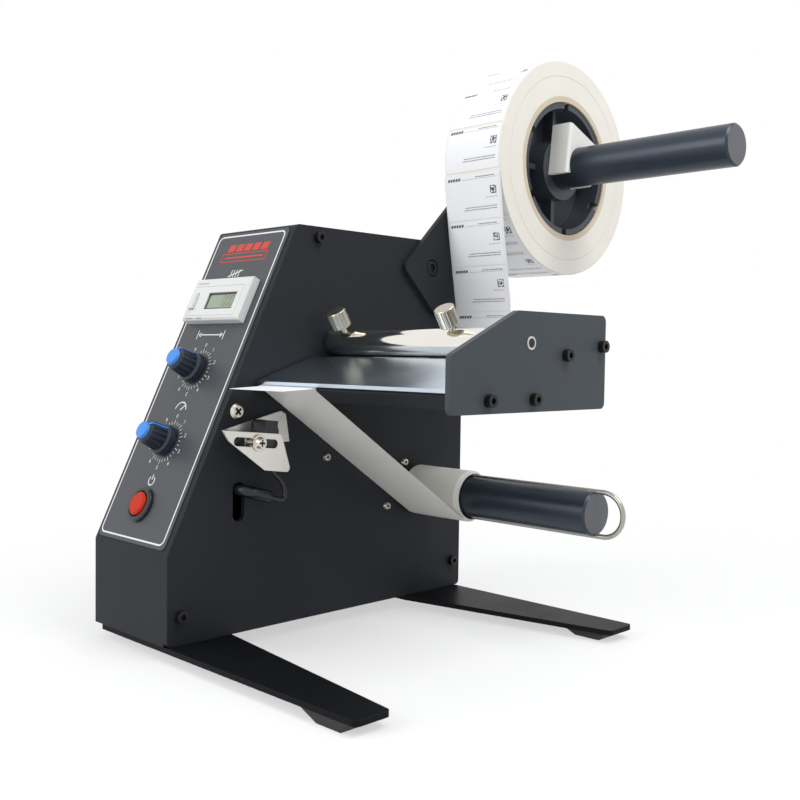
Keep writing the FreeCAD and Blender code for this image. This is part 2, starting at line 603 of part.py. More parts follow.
nose_edges = [e for e in bed.Edges if all((v.Point - nose).cross(Vector(1, 0, 0)).Length < 1e-6
                                          for v in e.Vertexes)]
bed = bed.makeFillet(size.bed_nose_radius, nose_edges)
for spot in at(bed_holes, 0):
    for x in (0, size.outer_plate_x - 12):
        bed = bed.cut(Part.makeCylinder(size.screw_radius + size.bolt_gap, 12,
                                        Vector(x, spot.y, spot.z), Vector(1, 0, 0)))
shaped("peel_bed", bed)

# Peel plate: bright folded sheet over the bed, under the press bar
peel_width = size.outer_plate_x - size.peel_plate_start - size.peel_plate_margin
shaped("peel_plate", ribbon(plate_points, [plate_bend], -size.peel_plate_thick, 0,
                            size.peel_plate_start, peel_width))

# Press bar: chrome tube on a fixed axle between side plate and outer plate
turned("press_bar_axle", [("0", "-side_plate_thick - 6"), ("axle_radius", "-side_plate_thick - 6"),
                          ("axle_radius", "outer_plate_x + outer_plate_thick + 0.3"),
                          ("0", "outer_plate_x + outer_plate_thick + 0.3")],
       shaft_seat(size.bar_y, size.bar_z))
turned("press_bar_bush", [("axle_radius", "-side_plate_thick"), ("bush_sleeve_radius", "-side_plate_thick"),
                          ("bush_sleeve_radius", "0"), ("bush_radius", "0"),
                          ("bush_radius", "bush_flange"), ("axle_radius", "bush_flange")],
       shaft_seat(size.bar_y, size.bar_z))
bar = new_body("press_bar")
turn(bar, "press_bar_profile", [
    ("axle_radius + fit_gap", "bush_flange + bar_end_gap"),
    ("bar_radius - 0.6", "bush_flange + bar_end_gap"),
    ("bar_radius", "bush_flange + bar_end_gap + 0.6"),
    ("bar_radius", "outer_plate_x - bar_end_gap - 0.6"),
    ("bar_radius - 0.6", "outer_plate_x - bar_end_gap"),
    ("axle_radius + fit_gap", "outer_plate_x - bar_end_gap")])
tapping = sketch_on(bar, "thumb_holes", "YZ_Plane")
for x in ("thumb_left_x", "thumb_right_x"):
    circle(tapping, "0", x, "thumb_stem_radius + fit_gap")
bores = pocket(bar, tapping, "bar_radius + 1")
thumb_lean = FreeCAD.Rotation(Vector(1, 0, 0), size.thumb_tilt)
bar_seat = shaft_seat(size.bar_y, size.bar_z)
up_dir = thumb_lean.multVec(Vector(0, 0, 1))
bar_rotation = FreeCAD.Rotation(up_dir, up_dir.cross(Vector(1, 0, 0)) * -1, Vector(1, 0, 0), "XZY")
keep(bar, "press_bar", FreeCAD.Placement(bar_seat.Base, bar_rotation))

# Thumb screws: knurled heads on thin stems, screwed radially into the press bar
for label, x in (("thumb_screw_left", size.thumb_left_x), ("thumb_screw_right", size.thumb_right_x)):
    screw = new_body(label)
    turn(screw, label + "_profile", [
        ("0", "bar_radius - thumb_depth"), ("thumb_stem_radius", "bar_radius - thumb_depth"),
        ("thumb_stem_radius", "bar_radius + thumb_lift"),
        ("thumb_head_radius - 0.4", "bar_radius + thumb_lift"),
        ("thumb_head_radius", "bar_radius + thumb_lift + 0.4"),
        ("thumb_head_radius", "bar_radius + thumb_lift + thumb_head_height - 0.4"),
        ("thumb_head_radius - 0.4", "bar_radius + thumb_lift + thumb_head_height"),
        ("0", "bar_radius + thumb_lift + thumb_head_height")])
    knurl = sketch_on(screw, label + "_knurl", "XY_Plane", "bar_radius + thumb_lift - 1")
    circle(knurl, "thumb_head_radius + 0.15", "0", "0.4")
    groove = pocket(screw, knurl, "thumb_head_height + 2")
    repeat_round(screw, groove, knurl, 16)
    keep(screw, label, FreeCAD.Placement(Vector(x, size.bar_y, size.bar_z) - centre, thumb_lean))

# Guide rods behind the press bar, and the edge collar on the rear one
rod = Part.makeCylinder(size.rod_radius, size.outer_plate_x, Vector(), Vector(1, 0, 0))
for end in (0, size.outer_plate_x - 12):
    rod = rod.cut(Part.makeCylinder(size.screw_radius + size.bolt_gap, 12, Vector(end, 0, 0),
                                    Vector(1, 0, 0)))
shaped("guide_rods", compound_of(rod, [FreeCAD.Placement(p, FreeCAD.Rotation())
                                       for p in at(rod_holes, 0)]))
turned("guide_collar", [("rod_radius", WEB_END + " + clear_gap"),
                        ("collar_radius", WEB_END + " + clear_gap"),
                        ("collar_radius", WEB_END + " + clear_gap + collar_length - 1"),
                        ("collar_radius - 1", WEB_END + " + clear_gap + collar_length"),
                        ("rod_radius", WEB_END + " + clear_gap + collar_length")],
       shaft_seat(size.rod_rear_y, size.rod_rear_z))

# Supply arm: flat bar at 45 degrees on the side plate, drawn in its own plane about the shaft
arm = new_body("supply_arm")
arm_outline = sketch_on(arm, "arm_outline", "XY_Plane")
polygon(arm_outline, [("-arm_lower", "arm_shift - arm_width / 2"), ("arm_upper", "arm_shift - arm_width / 2"),
                      ("arm_upper", "arm_shift + arm_width / 2"),
                      ("-arm_lower", "arm_shift + arm_width / 2")])
arm_pad = pad(arm, arm_outline, "arm_thick")
soften(arm, arm_pad, "arm_corner", Vector(0, 0, 1))
arm_drill = sketch_on(arm, "arm_holes", "XY_Plane")
circle(arm_drill, "0", "0", "spindle_radius")
for along, across in arm_holes:
    circle(arm_drill, along, across, "arm_screw_radius + bolt_gap")
pocket(arm, arm_drill)
arm_sinks = sketch_on(arm, "arm_counterbores", "XY_Plane", "arm_thick - arm_sink")
for along, across in arm_holes:
    circle(arm_sinks, along, across, "arm_sink_radius")
pocket(arm, arm_sinks, "arm_sink + 1")
arm_up = Vector(0, math.cos(arm_turn), math.sin(arm_turn))
arm_rotation = FreeCAD.Rotation(arm_up, Vector(1, 0, 0).cross(arm_up), Vector(1, 0, 0), "XZY")
supply_spot = Vector(0, size.supply_y, size.supply_z)
keep(arm, "supply_arm", FreeCAD.Placement(supply_spot - centre, arm_rotation))
arm_screw = cap_screw(size.arm_head_radius, size.arm_head_height, size.arm_screw_radius,
                      size.arm_thick - size.arm_sink + size.side_plate_thick + 3)
shaped("arm_screws", compound_of(arm_screw, [
    FreeCAD.Placement(supply_spot + arm_up * float(along)
                      + Vector(1, 0, 0).cross(arm_up) * float(across)
                      + Vector(size.arm_thick - size.arm_sink, 0, 0), FreeCAD.Rotation())
    for along, across in arm_holes]))

# Supply shaft: fixed black spindle with a shouldered, riveted root
supply_seat = shaft_seat(size.supply_y, size.supply_z)
turned("supply_shaft", [("0", "0"), ("spindle_radius", "0"), ("spindle_radius", "arm_thick"),
                        ("shaft_radius", "arm_thick"), ("shaft_radius", "supply_end - 1"),
                        ("shaft_radius - 1", "supply_end"), ("0", "supply_end")], supply_seat)

# Reel hub: moulded boss, web, ribs and notched rim inside the roll's cardboard core
HUB_BACK = "arm_thick + clear_gap"
HUB_FRONT = WEB_END + " - hub_recess"
HUB_MIDDLE = "web_start + web_width / 2"
hub = new_body("supply_hub")
turn(hub, "hub_profile", [
    ("shaft_radius + fit_gap", HUB_BACK), ("hub_boss_radius", HUB_BACK),
    ("hub_boss_radius", HUB_MIDDLE), ("core_radius - hub_rim_wall", HUB_MIDDLE),
    ("core_radius - hub_rim_wall", "web_start + 1"), ("core_radius", "web_start + 1"),
    ("core_radius", WEB_END + " - 1"), ("core_radius - hub_rim_wall", WEB_END + " - 1"),
    ("core_radius - hub_rim_wall", HUB_MIDDLE + " + hub_web_thick"),
    ("hub_boss_radius", HUB_MIDDLE + " + hub_web_thick"), ("hub_boss_radius", HUB_FRONT),
    ("shaft_radius + fit_gap", HUB_FRONT)])
rib = sketch_on(hub, "hub_rib", "XY_Plane", HUB_MIDDLE)
polygon(rib, [("hub_boss_radius - 1", "-hub_rib_thick / 2"),
              ("core_radius - hub_rim_wall + 1", "-hub_rib_thick / 2"),
              ("core_radius - hub_rim_wall + 1", "hub_rib_thick / 2"),
              ("hub_boss_radius - 1", "hub_rib_thick / 2")])
rib_pad = pad(hub, rib, "web_width / 2 - hub_recess - 6")
rib_ring = repeat_round(hub, rib_pad, rib, size.hub_ribs)
notch = sketch_on(hub, "hub_notch", "XY_Plane", WEB_END + " - hub_notch_depth")
polygon(notch, [("core_radius - hub_rim_wall - 2", "-hub_notch_width / 2"),
                ("core_radius + 2", "-hub_notch_width / 2"), ("core_radius + 2", "hub_notch_width / 2"),
                ("core_radius - hub_rim_wall - 2", "hub_notch_width / 2")])
notch_cut = pocket(hub, notch, "hub_notch_depth + 1")
repeat_round(hub, notch_cut, notch, size.hub_notches)
keep(hub, "supply_hub", supply_seat)

# Cardboard core and the wound label roll
for label, inner, outer_r in (("label_core", "core_radius", "core_radius + core_wall"),
                              ("label_roll", "core_radius + core_wall", "roll_radius")):
    turned(label, [(inner, "web_start"), (outer_r, "web_start"), (outer_r, WEB_END), (inner, WEB_END)],
           supply_seat)

# Stop clip: white snap-on block on the supply shaft, open towards the lower front
clip = new_body("reel_stop_clip")
clip_outline = sketch_on(clip, "clip_outline", "YZ_Plane", HUB_FRONT + " + clear_gap")
polygon(clip_outline, [("-clip_crown", "clip_top"), ("-clip_front", "-clip_jaw"), ("0", "-clip_jaw"),
                       ("clip_tip - clip_tip_rise", "1.5 * clip_tip_rise - clip_bottom"),
                       ("clip_tip", "-clip_bottom"),
                       ("clip_tip + clip_tip_width", "clip_tip_rise - clip_bottom"),
                       ("clip_rear", "-clip_jaw / 2"), ("clip_rear", "clip_rear_top")])
clip_pad = pad(clip, clip_outline, "clip_depth")
clip_edge = Vector(0, size.clip_front - size.clip_crown, size.clip_top + size.clip_jaw).normalize()
clip_front = soften(clip, clip_pad, "clip_round", clip_edge, near=lambda p: p.x > web_end)
soften(clip, clip_front, "0.8", Vector(1, 0, 0), near=lambda p: p.z > 10 and p.y > 0)
clip_bore = sketch_on(clip, "clip_bore", "YZ_Plane", HUB_FRONT)
circle(clip_bore, "0", "0", "shaft_radius + fit_gap")
pocket(clip, clip_bore)
keep(clip, "reel_stop_clip", FreeCAD.Placement(supply_spot - centre, FreeCAD.Rotation()))

# Take-up shaft: black bar with a journal in the bearing and a spindle in the gearbox
takeup_seat = shaft_seat(size.takeup_y, size.takeup_z)
SHAFT_START = "bearing_flange + clear_gap"
takeup = new_body("take_up_shaft")
turn(takeup, "takeup_profile", [
    ("0", "-side_plate_thick - 20"), ("spindle_radius", "-side_plate_thick - 20"),
    ("spindle_radius", "-side_plate_thick - 7"), ("journal_radius", "-side_plate_thick - 7"),
    ("journal_radius", SHAFT_START), ("shaft_radius", SHAFT_START),
    ("shaft_radius", "takeup_end - 1"), ("shaft_radius - 1", "takeup_end"), ("0", "takeup_end")])
lane = sketch_on(takeup, "wire_lane", "XY_Plane", "wire_start - 1")
circle(lane, "wire_lane", "0", "wire_radius + fit_gap")
lane_cut = pocket(takeup, lane, "takeup_end")
repeat_round(takeup, lane_cut, lane, 2)
keep(takeup, "take_up_shaft", takeup_seat)

# Wire clip: bent spring wire whose two legs hold the liner in the shaft's lanes
bow_x = size.takeup_end + size.wire_reach
wire_path = Part.Wire([
    Part.LineSegment(Vector(size.wire_start, 0, size.wire_lane), Vector(bow_x, 0, size.wire_lane)).toShape(),
    Part.Arc(Vector(bow_x, 0, size.wire_lane), Vector(bow_x + size.wire_lane, 0, 0),
             Vector(bow_x, 0, -size.wire_lane)).toShape(),
    Part.LineSegment(Vector(bow_x, 0, -size.wire_lane), Vector(size.wire_start, 0, -size.wire_lane)).toShape()])
wire_ring = Part.Wire(Part.makeCircle(size.wire_radius, Vector(size.wire_start, 0, size.wire_lane),
                                      Vector(1, 0, 0)))
shaped("wire_clip", wire_path.makePipeShell([wire_ring], True, False),
       FreeCAD.Placement(axis - centre, FreeCAD.Rotation()))
# Wound liner: four layers, each a little short of the one below it at the open end
WINDING_BORE = "(wire_lane + wire_radius + winding_gap)"
winding = [(WINDING_BORE, "web_start"), ("winding_radius", "web_start")]
for layer in range(4):
    EDGE = f"{WEB_END} - winding_step * {3 - layer}"
    winding += [(f"winding_radius - (winding_radius - {WINDING_BORE}) * {depth} / 4", EDGE)
                for depth in (layer, layer + 1)]
turned("liner_winding", winding, takeup_seat)

# Take-up bearing, gearbox and motor behind the side plate
turned("take_up_bearing", [("journal_radius + fit_gap", "-side_plate_thick"),
                           ("bearing_radius", "-side_plate_thick"), ("bearing_radius", "0"),
                           ("bearing_flange_radius", "0"), ("bearing_flange_radius", "bearing_flange"),
                           ("journal_radius + fit_gap", "bearing_flange")], takeup_seat)
gear_seat = shaft_seat(size.takeup_y - size.gearbox_offset, size.takeup_z)
gearbox = new_body("gearbox")
case = sketch_on(gearbox, "gearbox_case", "YZ_Plane", "-side_plate_thick - gearbox_length")
circle(case, "0", "0", "gearbox_radius")
pad(gearbox, case, "gearbox_length")
bore = sketch_on(gearbox, "gearbox_bore", "YZ_Plane", "-side_plate_thick - 7.3")
circle(bore, "gearbox_offset", "0", "journal_radius + bolt_gap")
pocket(gearbox, bore, "8")
inner_bore = sketch_on(gearbox, "gearbox_inner_bore", "YZ_Plane", "-side_plate_thick - 21")
circle(inner_bore, "gearbox_offset", "0", "spindle_radius + fit_gap")
pocket(gearbox, inner_bore, "15")
lugs = sketch_on(gearbox, "gearbox_threads", "YZ_Plane", "-side_plate_thick - 10")
for angle in motor_angles:
    circle(lugs, f"motor_pcd / 2 * cos({angle} deg)", f"motor_pcd / 2 * sin({angle} deg)", thread)
pocket(gearbox, lugs, "11")
keep(gearbox, "gearbox", FreeCAD.Placement(axis - centre - Vector(0, size.gearbox_offset, 0),
                                           FreeCAD.Rotation()))
turned("drive_motor", [("0", "-side_plate_thick - gearbox_length - motor_length"),
                       ("motor_radius - 1.5", "-side_plate_thick - gearbox_length - motor_length"),
                       ("motor_radius", "-side_plate_thick - gearbox_length - motor_length + 1.5"),
                       ("motor_radius", "-side_plate_thick - gearbox_length"),
                       ("0", "-side_plate_thick - gearbox_length")], gear_seat)
small_screw = pan_screw(size.small_head_radius, size.small_head_height, size.screw_radius,
                        size.side_plate_thick + 6)
shaped("small_screws", compound_of(small_screw, [
    FreeCAD.Placement(p, FreeCAD.Rotation()) for p in at(motor_holes + board_holes, 0)]))

# Control board on two standoffs behind the side plate
standoff = Part.makeCylinder(size.standoff_radius, size.standoff_length,
                             Vector(-size.side_plate_thick - size.standoff_length, 0, 0), Vector(1, 0, 0))
standoff = standoff.cut(Part.makeCylinder(size.screw_radius + size.bolt_gap, 8,
                                          Vector(-size.side_plate_thick - 7, 0, 0), Vector(1, 0, 0)))
shaped("board_standoffs", compound_of(standoff, [FreeCAD.Placement(p, FreeCAD.Rotation())
                                                 for p in at(board_holes, 0)]))
board = new_body("control_board")
BOARD_FACE = "-side_plate_thick - standoff_length - board_thick"
laminate = sketch_on(board, "board_laminate", "YZ_Plane", BOARD_FACE)
polygon(laminate, [("board_y", "board_z"), ("board_y + board_width", "board_z"),
                   ("board_y + board_width", "board_z + board_height"),
                   ("board_y", "board_z + board_height")])
pad(board, laminate, "board_thick")
for name, low_y, low_z, wide, tall, deep in (("relay", 6, 22, 16, 18, 12), ("regulator", 26, 24, 8, 12, 9)):
    part_sketch = sketch_on(board, "board_" + name, "YZ_Plane", BOARD_FACE + f" - {deep}")
    low_corner = (f"board_y + {low_y}", f"board_z + {low_z}")
    polygon(part_sketch, [low_corner, (f"board_y + {low_y + wide}", low_corner[1]),
                          (f"board_y + {low_y + wide}", f"board_z + {low_z + tall}"),
                          (low_corner[0], f"board_z + {low_z + tall}")])
    pad(board, part_sketch, f"{deep} + board_thick / 2")
keep(board, "control_board", machine_seat())

# Web of labels: hangs from the roll in a slack loop and enters the gap over the peel bed
lane_low = bed_offset + 0.15
label_low = lane_low + size.paper_thick + 0.03
gap_y = size.nose_y + 3.4
gap_z = size.nose_z + (gap_y - size.nose_y) * math.tan(slant)
leave_angle = math.radians(8)
leave = size.roll_radius + size.clear_gap - lane_low
leave_y = size.supply_y - leave * math.cos(leave_angle)
leave_z = size.supply_z - leave * math.sin(leave_angle)
hang = 34.8
web_points = [(gap_y, gap_z), (size.knee_y, size.table_z), (118, size.table_z), (140, 129.5),
              (158, 120.5), (180, 119.5), (188, 138), (187.5, 160),
              (leave_y + hang * math.sin(leave_angle), leave_z - hang * math.cos(leave_angle)),
              (leave_y, leave_z)]
web_radii = [plate_bend + 2, 60, 40, 30, 16, 30, 80, 200]
shaped("label_web", ribbon(web_points, web_radii, lane_low, label_low + size.paper_thick,
                           size.web_start, size.web_width))

# The label being dispensed stands out past the peel edge
label_start = size.nose_y + 3.1
label_points = [(30.8, 120.3), (size.nose_y - 0.9, size.nose_z - 0.9 * math.tan(slant)),
                (label_start, size.nose_z + (label_start - size.nose_y) * math.tan(slant))]
shaped("front_label", ribbon(label_points, [4], label_low, label_low + size.paper_thick,
                             size.web_start, size.web_width))

# Liner: round the nose of the bed and straight to the underside of the take-up winding
liner_mid = size.paper_thick / 2 + 0.15
turn_radius = size.bed_nose_radius + liner_mid
incline = Vector(0, math.cos(slant), math.sin(slant))
corner_angle = incline.getAngle(liner_run)
corner = nose - (incline + liner_run).normalize() * (liner_mid / math.sin(corner_angle / 2))
span = axis - corner
liner_angle = math.atan2(span.z, span.y) - math.asin(liner_touch / span.Length)
finish_run = Vector(0, math.cos(liner_angle), math.sin(liner_angle))
touch = corner + finish_run * math.sqrt(span.Length ** 2 - liner_touch ** 2)
first = corner + incline * 3.6
shaped("liner_web", ribbon([(first.y, first.z), (corner.y, corner.z), (touch.y, touch.z)], [turn_radius],
                           -size.paper_thick / 2, size.paper_thick / 2, size.web_start, size.web_width))

# Sensor bracket: bent zinc sheet, one cheek on the side plate and one with the adjusting slot
cheek_x = size.bracket_thick + size.bracket_gap


def cheek(corners, x):
    """Flat sheet parallel to the side plate; heights count from the sensor's screw."""
    outline = [Vector(x, y, sensor_z + rise) for y, rise in corners]
    return Part.Face(Part.makePolygon(outline + outline[:1])).extrude(Vector(size.bracket_thick, 0, 0))


sensor_z = evaluate(f"{CROSS_Z} - sensor_drop")
inner_cheek = cheek([(30, 6), (64, 14), (66.9, 12.4), (69.4, -1.5), (38, -1.2)], 0)
outer_cheek = cheek([(20.9, 6.8), (54.9, 3.6), (60.9, -15.3), (44.8, -13.2), (27.3, -0.8), (24.3, 1.5)],
                    cheek_x)
round_corners = [e for e in outer_cheek.Edges
                 if abs(e.Vertexes[0].X - e.Vertexes[1].X) > 0.1 and e.Vertexes[0].Y > 50]
outer_cheek = outer_cheek.makeFillet(2, round_corners)
far_x = cheek_x + size.bracket_thick
bridge_plan = [Vector(x, y, sensor_z + 3.5) for x, y in ((0, 30.6), (0, 32.4), (far_x, 24), (far_x, 22.4))]
bridge = Part.Face(Part.makePolygon(bridge_plan + bridge_plan[:1])).extrude(Vector(0, 0, 2.6))
slot_turn = FreeCAD.Rotation(Vector(1, 0, 0), size.sensor_tilt)
slot_half = size.sensor_slot_width / 2
travel_back, travel_front = 9.2, 12.3
cut_start = cheek_x - size.clear_gap
cut_length = size.bracket_thick + 2 * size.clear_gap
slot_tool = Part.makeBox(cut_length, travel_back + travel_front, size.sensor_slot_width,
                         Vector(cut_start, -travel_front, -slot_half))
for end in (-travel_front, travel_back):
    slot_tool = slot_tool.fuse(Part.makeCylinder(slot_half, cut_length, Vector(cut_start, end, 0),
                                                 Vector(1, 0, 0)))
slot_tool.Placement = FreeCAD.Placement(Vector(0, size.sensor_y, sensor_z), slot_turn)
bracket = inner_cheek.fuse([outer_cheek, bridge]).cut(slot_tool).removeSplitter()
shaped("sensor_bracket", bracket)

# Sensor head with its fixing tab, and the cross screw with washer through the slot
sensor_seat = FreeCAD.Placement(Vector(0, size.sensor_y, sensor_z) - centre, slot_turn)
head_low = size.bracket_thick + 0.6
head_high = cheek_x - size.clear_gap
tab_high = 7
sensor = Part.makeBox(head_high - head_low, 7.3, 12.5, Vector(head_low, 4.3, -1.5))
sensor = sensor.fuse([Part.makeBox(tab_high - head_low, 6.6, 7, Vector(head_low, -4, -3.5)),
                      Part.makeBox(tab_high - head_low, 3, 5, Vector(head_low, 2, -1.5)),
                      Part.makeCylinder(3.6, 2.6, Vector(head_low + 5, 11, 5.2), Vector(0, 1, 0))])
sensor = sensor.cut(Part.makeCylinder(size.sensor_screw_radius, head_high, Vector(head_low + 1, 0, 0),
                                      Vector(1, 0, 0))).removeSplitter()
shaped("sensor_head", sensor, sensor_seat)
washer_thick = 0.8
sensor_stem = Part.makeCylinder(size.sensor_screw_radius, cheek_x + size.bracket_thick - head_low,
                                Vector(head_low + 1, 0, 0), Vector(1, 0, 0))
screw_face = cheek_x + size.bracket_thick + 0.1
washer = Part.makeCylinder(size.washer_radius, washer_thick, Vector(screw_face, 0, 0), Vector(1, 0, 0))
cross = pan_screw(2.9, 2, size.sensor_screw_radius, screw_face + washer_thick - head_low - 1)
cross.Placement = FreeCAD.Placement(Vector(screw_face + washer_thick, 0, 0), FreeCAD.Rotation())
inner_washer = Part.makeCylinder(size.washer_radius, washer_thick, Vector(tab_high, 0, 0), Vector(1, 0, 0))
shaped("sensor_screw", cross.fuse([washer, inner_washer]).removeSplitter(), sensor_seat)

# Sensor lead in its sleeve, held between the sensor and the slot in the side plate
sleeve_points = [Vector(9.8, 50.9, 65.9), Vector(4.5, 39.5, 69.3), Vector(-12, 39.5, 69.3)]
shaped("lead_sleeve", tube(sleeve_points, size.sleeve_radius))
lead_top = slot_turn.multVec(Vector(6.5, 10.4, -1.5 - size.clear_gap)) + Vector(0, size.sensor_y, sensor_z)
sleeve_run = (sleeve_points[1] - sleeve_points[0]).normalize()
lead_points = [lead_top, Vector(8.4, 52.4, 78.5), Vector(10.4, 58.9, 71.5), Vector(12.2, 58.4, 63.8),
               sleeve_points[0] - sleeve_run * 1.5, sleeve_points[0] + sleeve_run * 3]
shaped("sensor_lead", tube(lead_points, size.lead_radius))

# Panel overlay: printed sheet on the slanted face
overlay = new_body("panel_overlay")
overlay_outline = sketch_on(overlay, "overlay_outline", "XY_Plane")
LEFT = "panel_margin - housing_width"
RIGHT = "-side_plate_thick - panel_margin + 1"
polygon(overlay_outline, [(LEFT, "panel_margin"), (RIGHT, "panel_margin"),
                          (RIGHT, SLOPE_LENGTH + " - panel_margin"), (LEFT, SLOPE_LENGTH + " - panel_margin")])
overlay_pad = pad(overlay, overlay_outline, "overlay_thick")
soften(overlay, overlay_pad, "overlay_corner", Vector(0, 0, 1))
overlay_holes = sketch_on(overlay, "overlay_holes", "XY_Plane")
for s, radius in (("length_knob_s", "pot_bushing_radius + bolt_gap"),
                  ("speed_knob_s", "pot_bushing_radius + bolt_gap"), ("button_s", "switch_radius + bolt_gap")):
    circle(overlay_holes, "panel_x", s, radius)
COUNTER_SIDE = "(counter_body_width / 2 + bolt_gap)"
COUNTER_END = "(counter_body_height / 2 + bolt_gap)"
polygon(overlay_holes, [(f"panel_x - {COUNTER_SIDE}", f"counter_s - {COUNTER_END}"),
                        (f"panel_x + {COUNTER_SIDE}", f"counter_s - {COUNTER_END}"),
                        (f"panel_x + {COUNTER_SIDE}", f"counter_s + {COUNTER_END}"),
                        (f"panel_x - {COUNTER_SIDE}", f"counter_s + {COUNTER_END}")])
pocket(overlay, overlay_holes)
keep(overlay, "panel_overlay", panel_seat("0", "0"))

# Counter: panel totaliser with chamfered bezel, recessed window and reset key
def rectangle(drawing, x, y, width, height):
    polygon(drawing, [(f"{x} - {width} / 2", f"{y} - {height} / 2"), (f"{x} + {width} / 2", f"{y} - {height} / 2"),
                      (f"{x} + {width} / 2", f"{y} + {height} / 2"), (f"{x} - {width} / 2", f"{y} + {height} / 2")])


counter_seat = panel_seat("panel_x", "counter_s")
counter = new_body("counter_case")
bezel_sketch = sketch_on(counter, "counter_bezel", "XY_Plane", "overlay_thick")
rectangle(bezel_sketch, "0", "0", "counter_width", "counter_height")
bezel_pad = pad(counter, bezel_sketch, "counter_proud")
doc.recompute()
top_edges = [f"Edge{n}" for n, e in enumerate(bezel_pad.Shape.Edges, start=1)
             if abs(e.CenterOfMass.z - size.overlay_thick - size.counter_proud) < 1e-6]
bevel = counter.newObject("PartDesign::Chamfer", "counter_bevel")
bevel.Base = (bezel_pad, top_edges)
bevel.setExpression("Size", formula("counter_chamfer"))
body_sketch = sketch_on(counter, "counter_body", "XY_Plane", "-counter_body_depth")
rectangle(body_sketch, "0", "0", "counter_body_width", "counter_body_height")
pad(counter, body_sketch, "counter_body_depth + overlay_thick + 1")
window_sketch = sketch_on(counter, "counter_window", "XY_Plane", "overlay_thick + counter_proud - window_recess")
rectangle(window_sketch, "window_shift", "-window_drop", "window_width", "window_height")
pocket(counter, window_sketch, "window_recess + 1")
reset_sketch = sketch_on(counter, "counter_reset_well", "XY_Plane",
                         "overlay_thick + counter_proud - reset_depth")
rectangle(reset_sketch, "-reset_shift", "-window_drop", "(reset_width + 2 * clear_gap)",
          "(reset_height + 2 * clear_gap)")
pocket(counter, reset_sketch, "reset_depth + 1")
keep(counter, "counter_case", counter_seat)
lcd = new_body("counter_lcd")
lcd_sketch = sketch_on(lcd, "lcd_outline", "XY_Plane", "overlay_thick + counter_proud - window_recess")
rectangle(lcd_sketch, "window_shift", "-window_drop", "window_width", "window_height")
pad(lcd, lcd_sketch, "window_recess / 2")
keep(lcd, "counter_lcd", counter_seat)
reset = new_body("counter_reset")
reset_outline = sketch_on(reset, "reset_outline", "XY_Plane",
                          "overlay_thick + counter_proud - reset_depth + 1.2")
rectangle(reset_outline, "-reset_shift", "-window_drop", "reset_width", "reset_height")
reset_pad = pad(reset, reset_outline, "reset_depth - 1.2 + reset_proud")
soften(reset, reset_pad, "0.6", Vector(0, 0, 1))
keep(reset, "counter_reset", counter_seat)

# Potentiometers behind the panel, their fluted knobs and blue caps
SKIN = "sheet_thick"
for word, spot in knob_spots.items():
    seat = panel_seat("panel_x", spot)
    turned(word + "_pot", [
        ("0", f"-{SKIN} - pot_depth"), ("pot_radius", f"-{SKIN} - pot_depth"), ("pot_radius", f"-{SKIN}"),
        ("pot_bushing_radius", f"-{SKIN}"), ("pot_bushing_radius", "overlay_thick"),
        ("pot_nut_radius", "overlay_thick"), ("pot_nut_radius", "overlay_thick + pot_nut_height"),
        ("pot_shaft_radius", "overlay_thick + pot_nut_height"),
        ("pot_shaft_radius", "overlay_thick + knob_height - 4"), ("0", "overlay_thick + knob_height - 4")],
        seat)
    knob = new_body(word + "_knob")
    KNOB_FOOT = "overlay_thick + knob_lift"
    turn(knob, word + "_knob_profile", [
        ("pot_nut_radius + 0.8", KNOB_FOOT), ("knob_base_radius", KNOB_FOOT),
        ("knob_base_radius", KNOB_FOOT + " + knob_skirt"),
        ("knob_body_radius", KNOB_FOOT + " + knob_skirt + 0.8"),
        ("knob_top_radius", "overlay_thick + knob_height - knob_crown"),
        ("knob_top_radius - knob_crown", "overlay_thick + knob_height"), ("0", "overlay_thick + knob_height"),
        ("0", "overlay_thick + knob_height - 3.5"),
        ("pot_shaft_radius + fit_gap", "overlay_thick + knob_height - 3.5"),
        ("pot_shaft_radius + fit_gap", "overlay_thick + pot_nut_height + 1"),
        ("pot_nut_radius + 0.8", "overlay_thick + pot_nut_height + 1")])
    flute = sketch_on(knob, word + "_knob_flute", "XY_Plane", KNOB_FOOT + " + knob_skirt + 1")
    circle(flute, "knob_body_radius + 0.1", "0", "flute_radius")
    flute_cut = pocket(knob, flute, "knob_height")
    repeat_round(knob, flute_cut, flute, size.knob_flutes)
    keep(knob, word + "_knob", seat)
    turned(word + "_knob_cap", [
        ("0", "overlay_thick + knob_height"), ("knob_cap_radius", "overlay_thick + knob_height"),
        ("knob_cap_radius - 0.4", "overlay_thick + knob_height + knob_cap_proud"),
        ("0", "overlay_thick + knob_height + knob_cap_proud")], seat)

# Power button: black bezel with the switch body, and the red plunger that moves in it
button_seat = panel_seat("panel_x", "button_s")
turned("power_switch", [
    ("0", "-switch_depth"), ("switch_radius", "-switch_depth"), ("switch_radius", "overlay_thick"),
    ("bezel_radius", "overlay_thick"), ("bezel_radius", "overlay_thick + bezel_height - 0.8"),
    ("bezel_radius - 0.8", "overlay_thick + bezel_height"),
    ("button_radius + button_gap", "overlay_thick + bezel_height"),
    ("button_radius + button_gap", "overlay_thick + 0.6"), ("button_radius + 0.15", "overlay_thick + 0.6"),
    ("button_radius + 0.15", "-button_travel - 2"),
    ("0", "-button_travel - 2")], button_seat)
turned("power_button", [
    ("0", "-1.6"), ("button_radius", "-1.6"), ("button_radius", "overlay_thick + button_proud - 0.9"),
    ("button_radius - 0.9", "overlay_thick + button_proud"), ("0", "overlay_thick + button_proud")], button_seat)

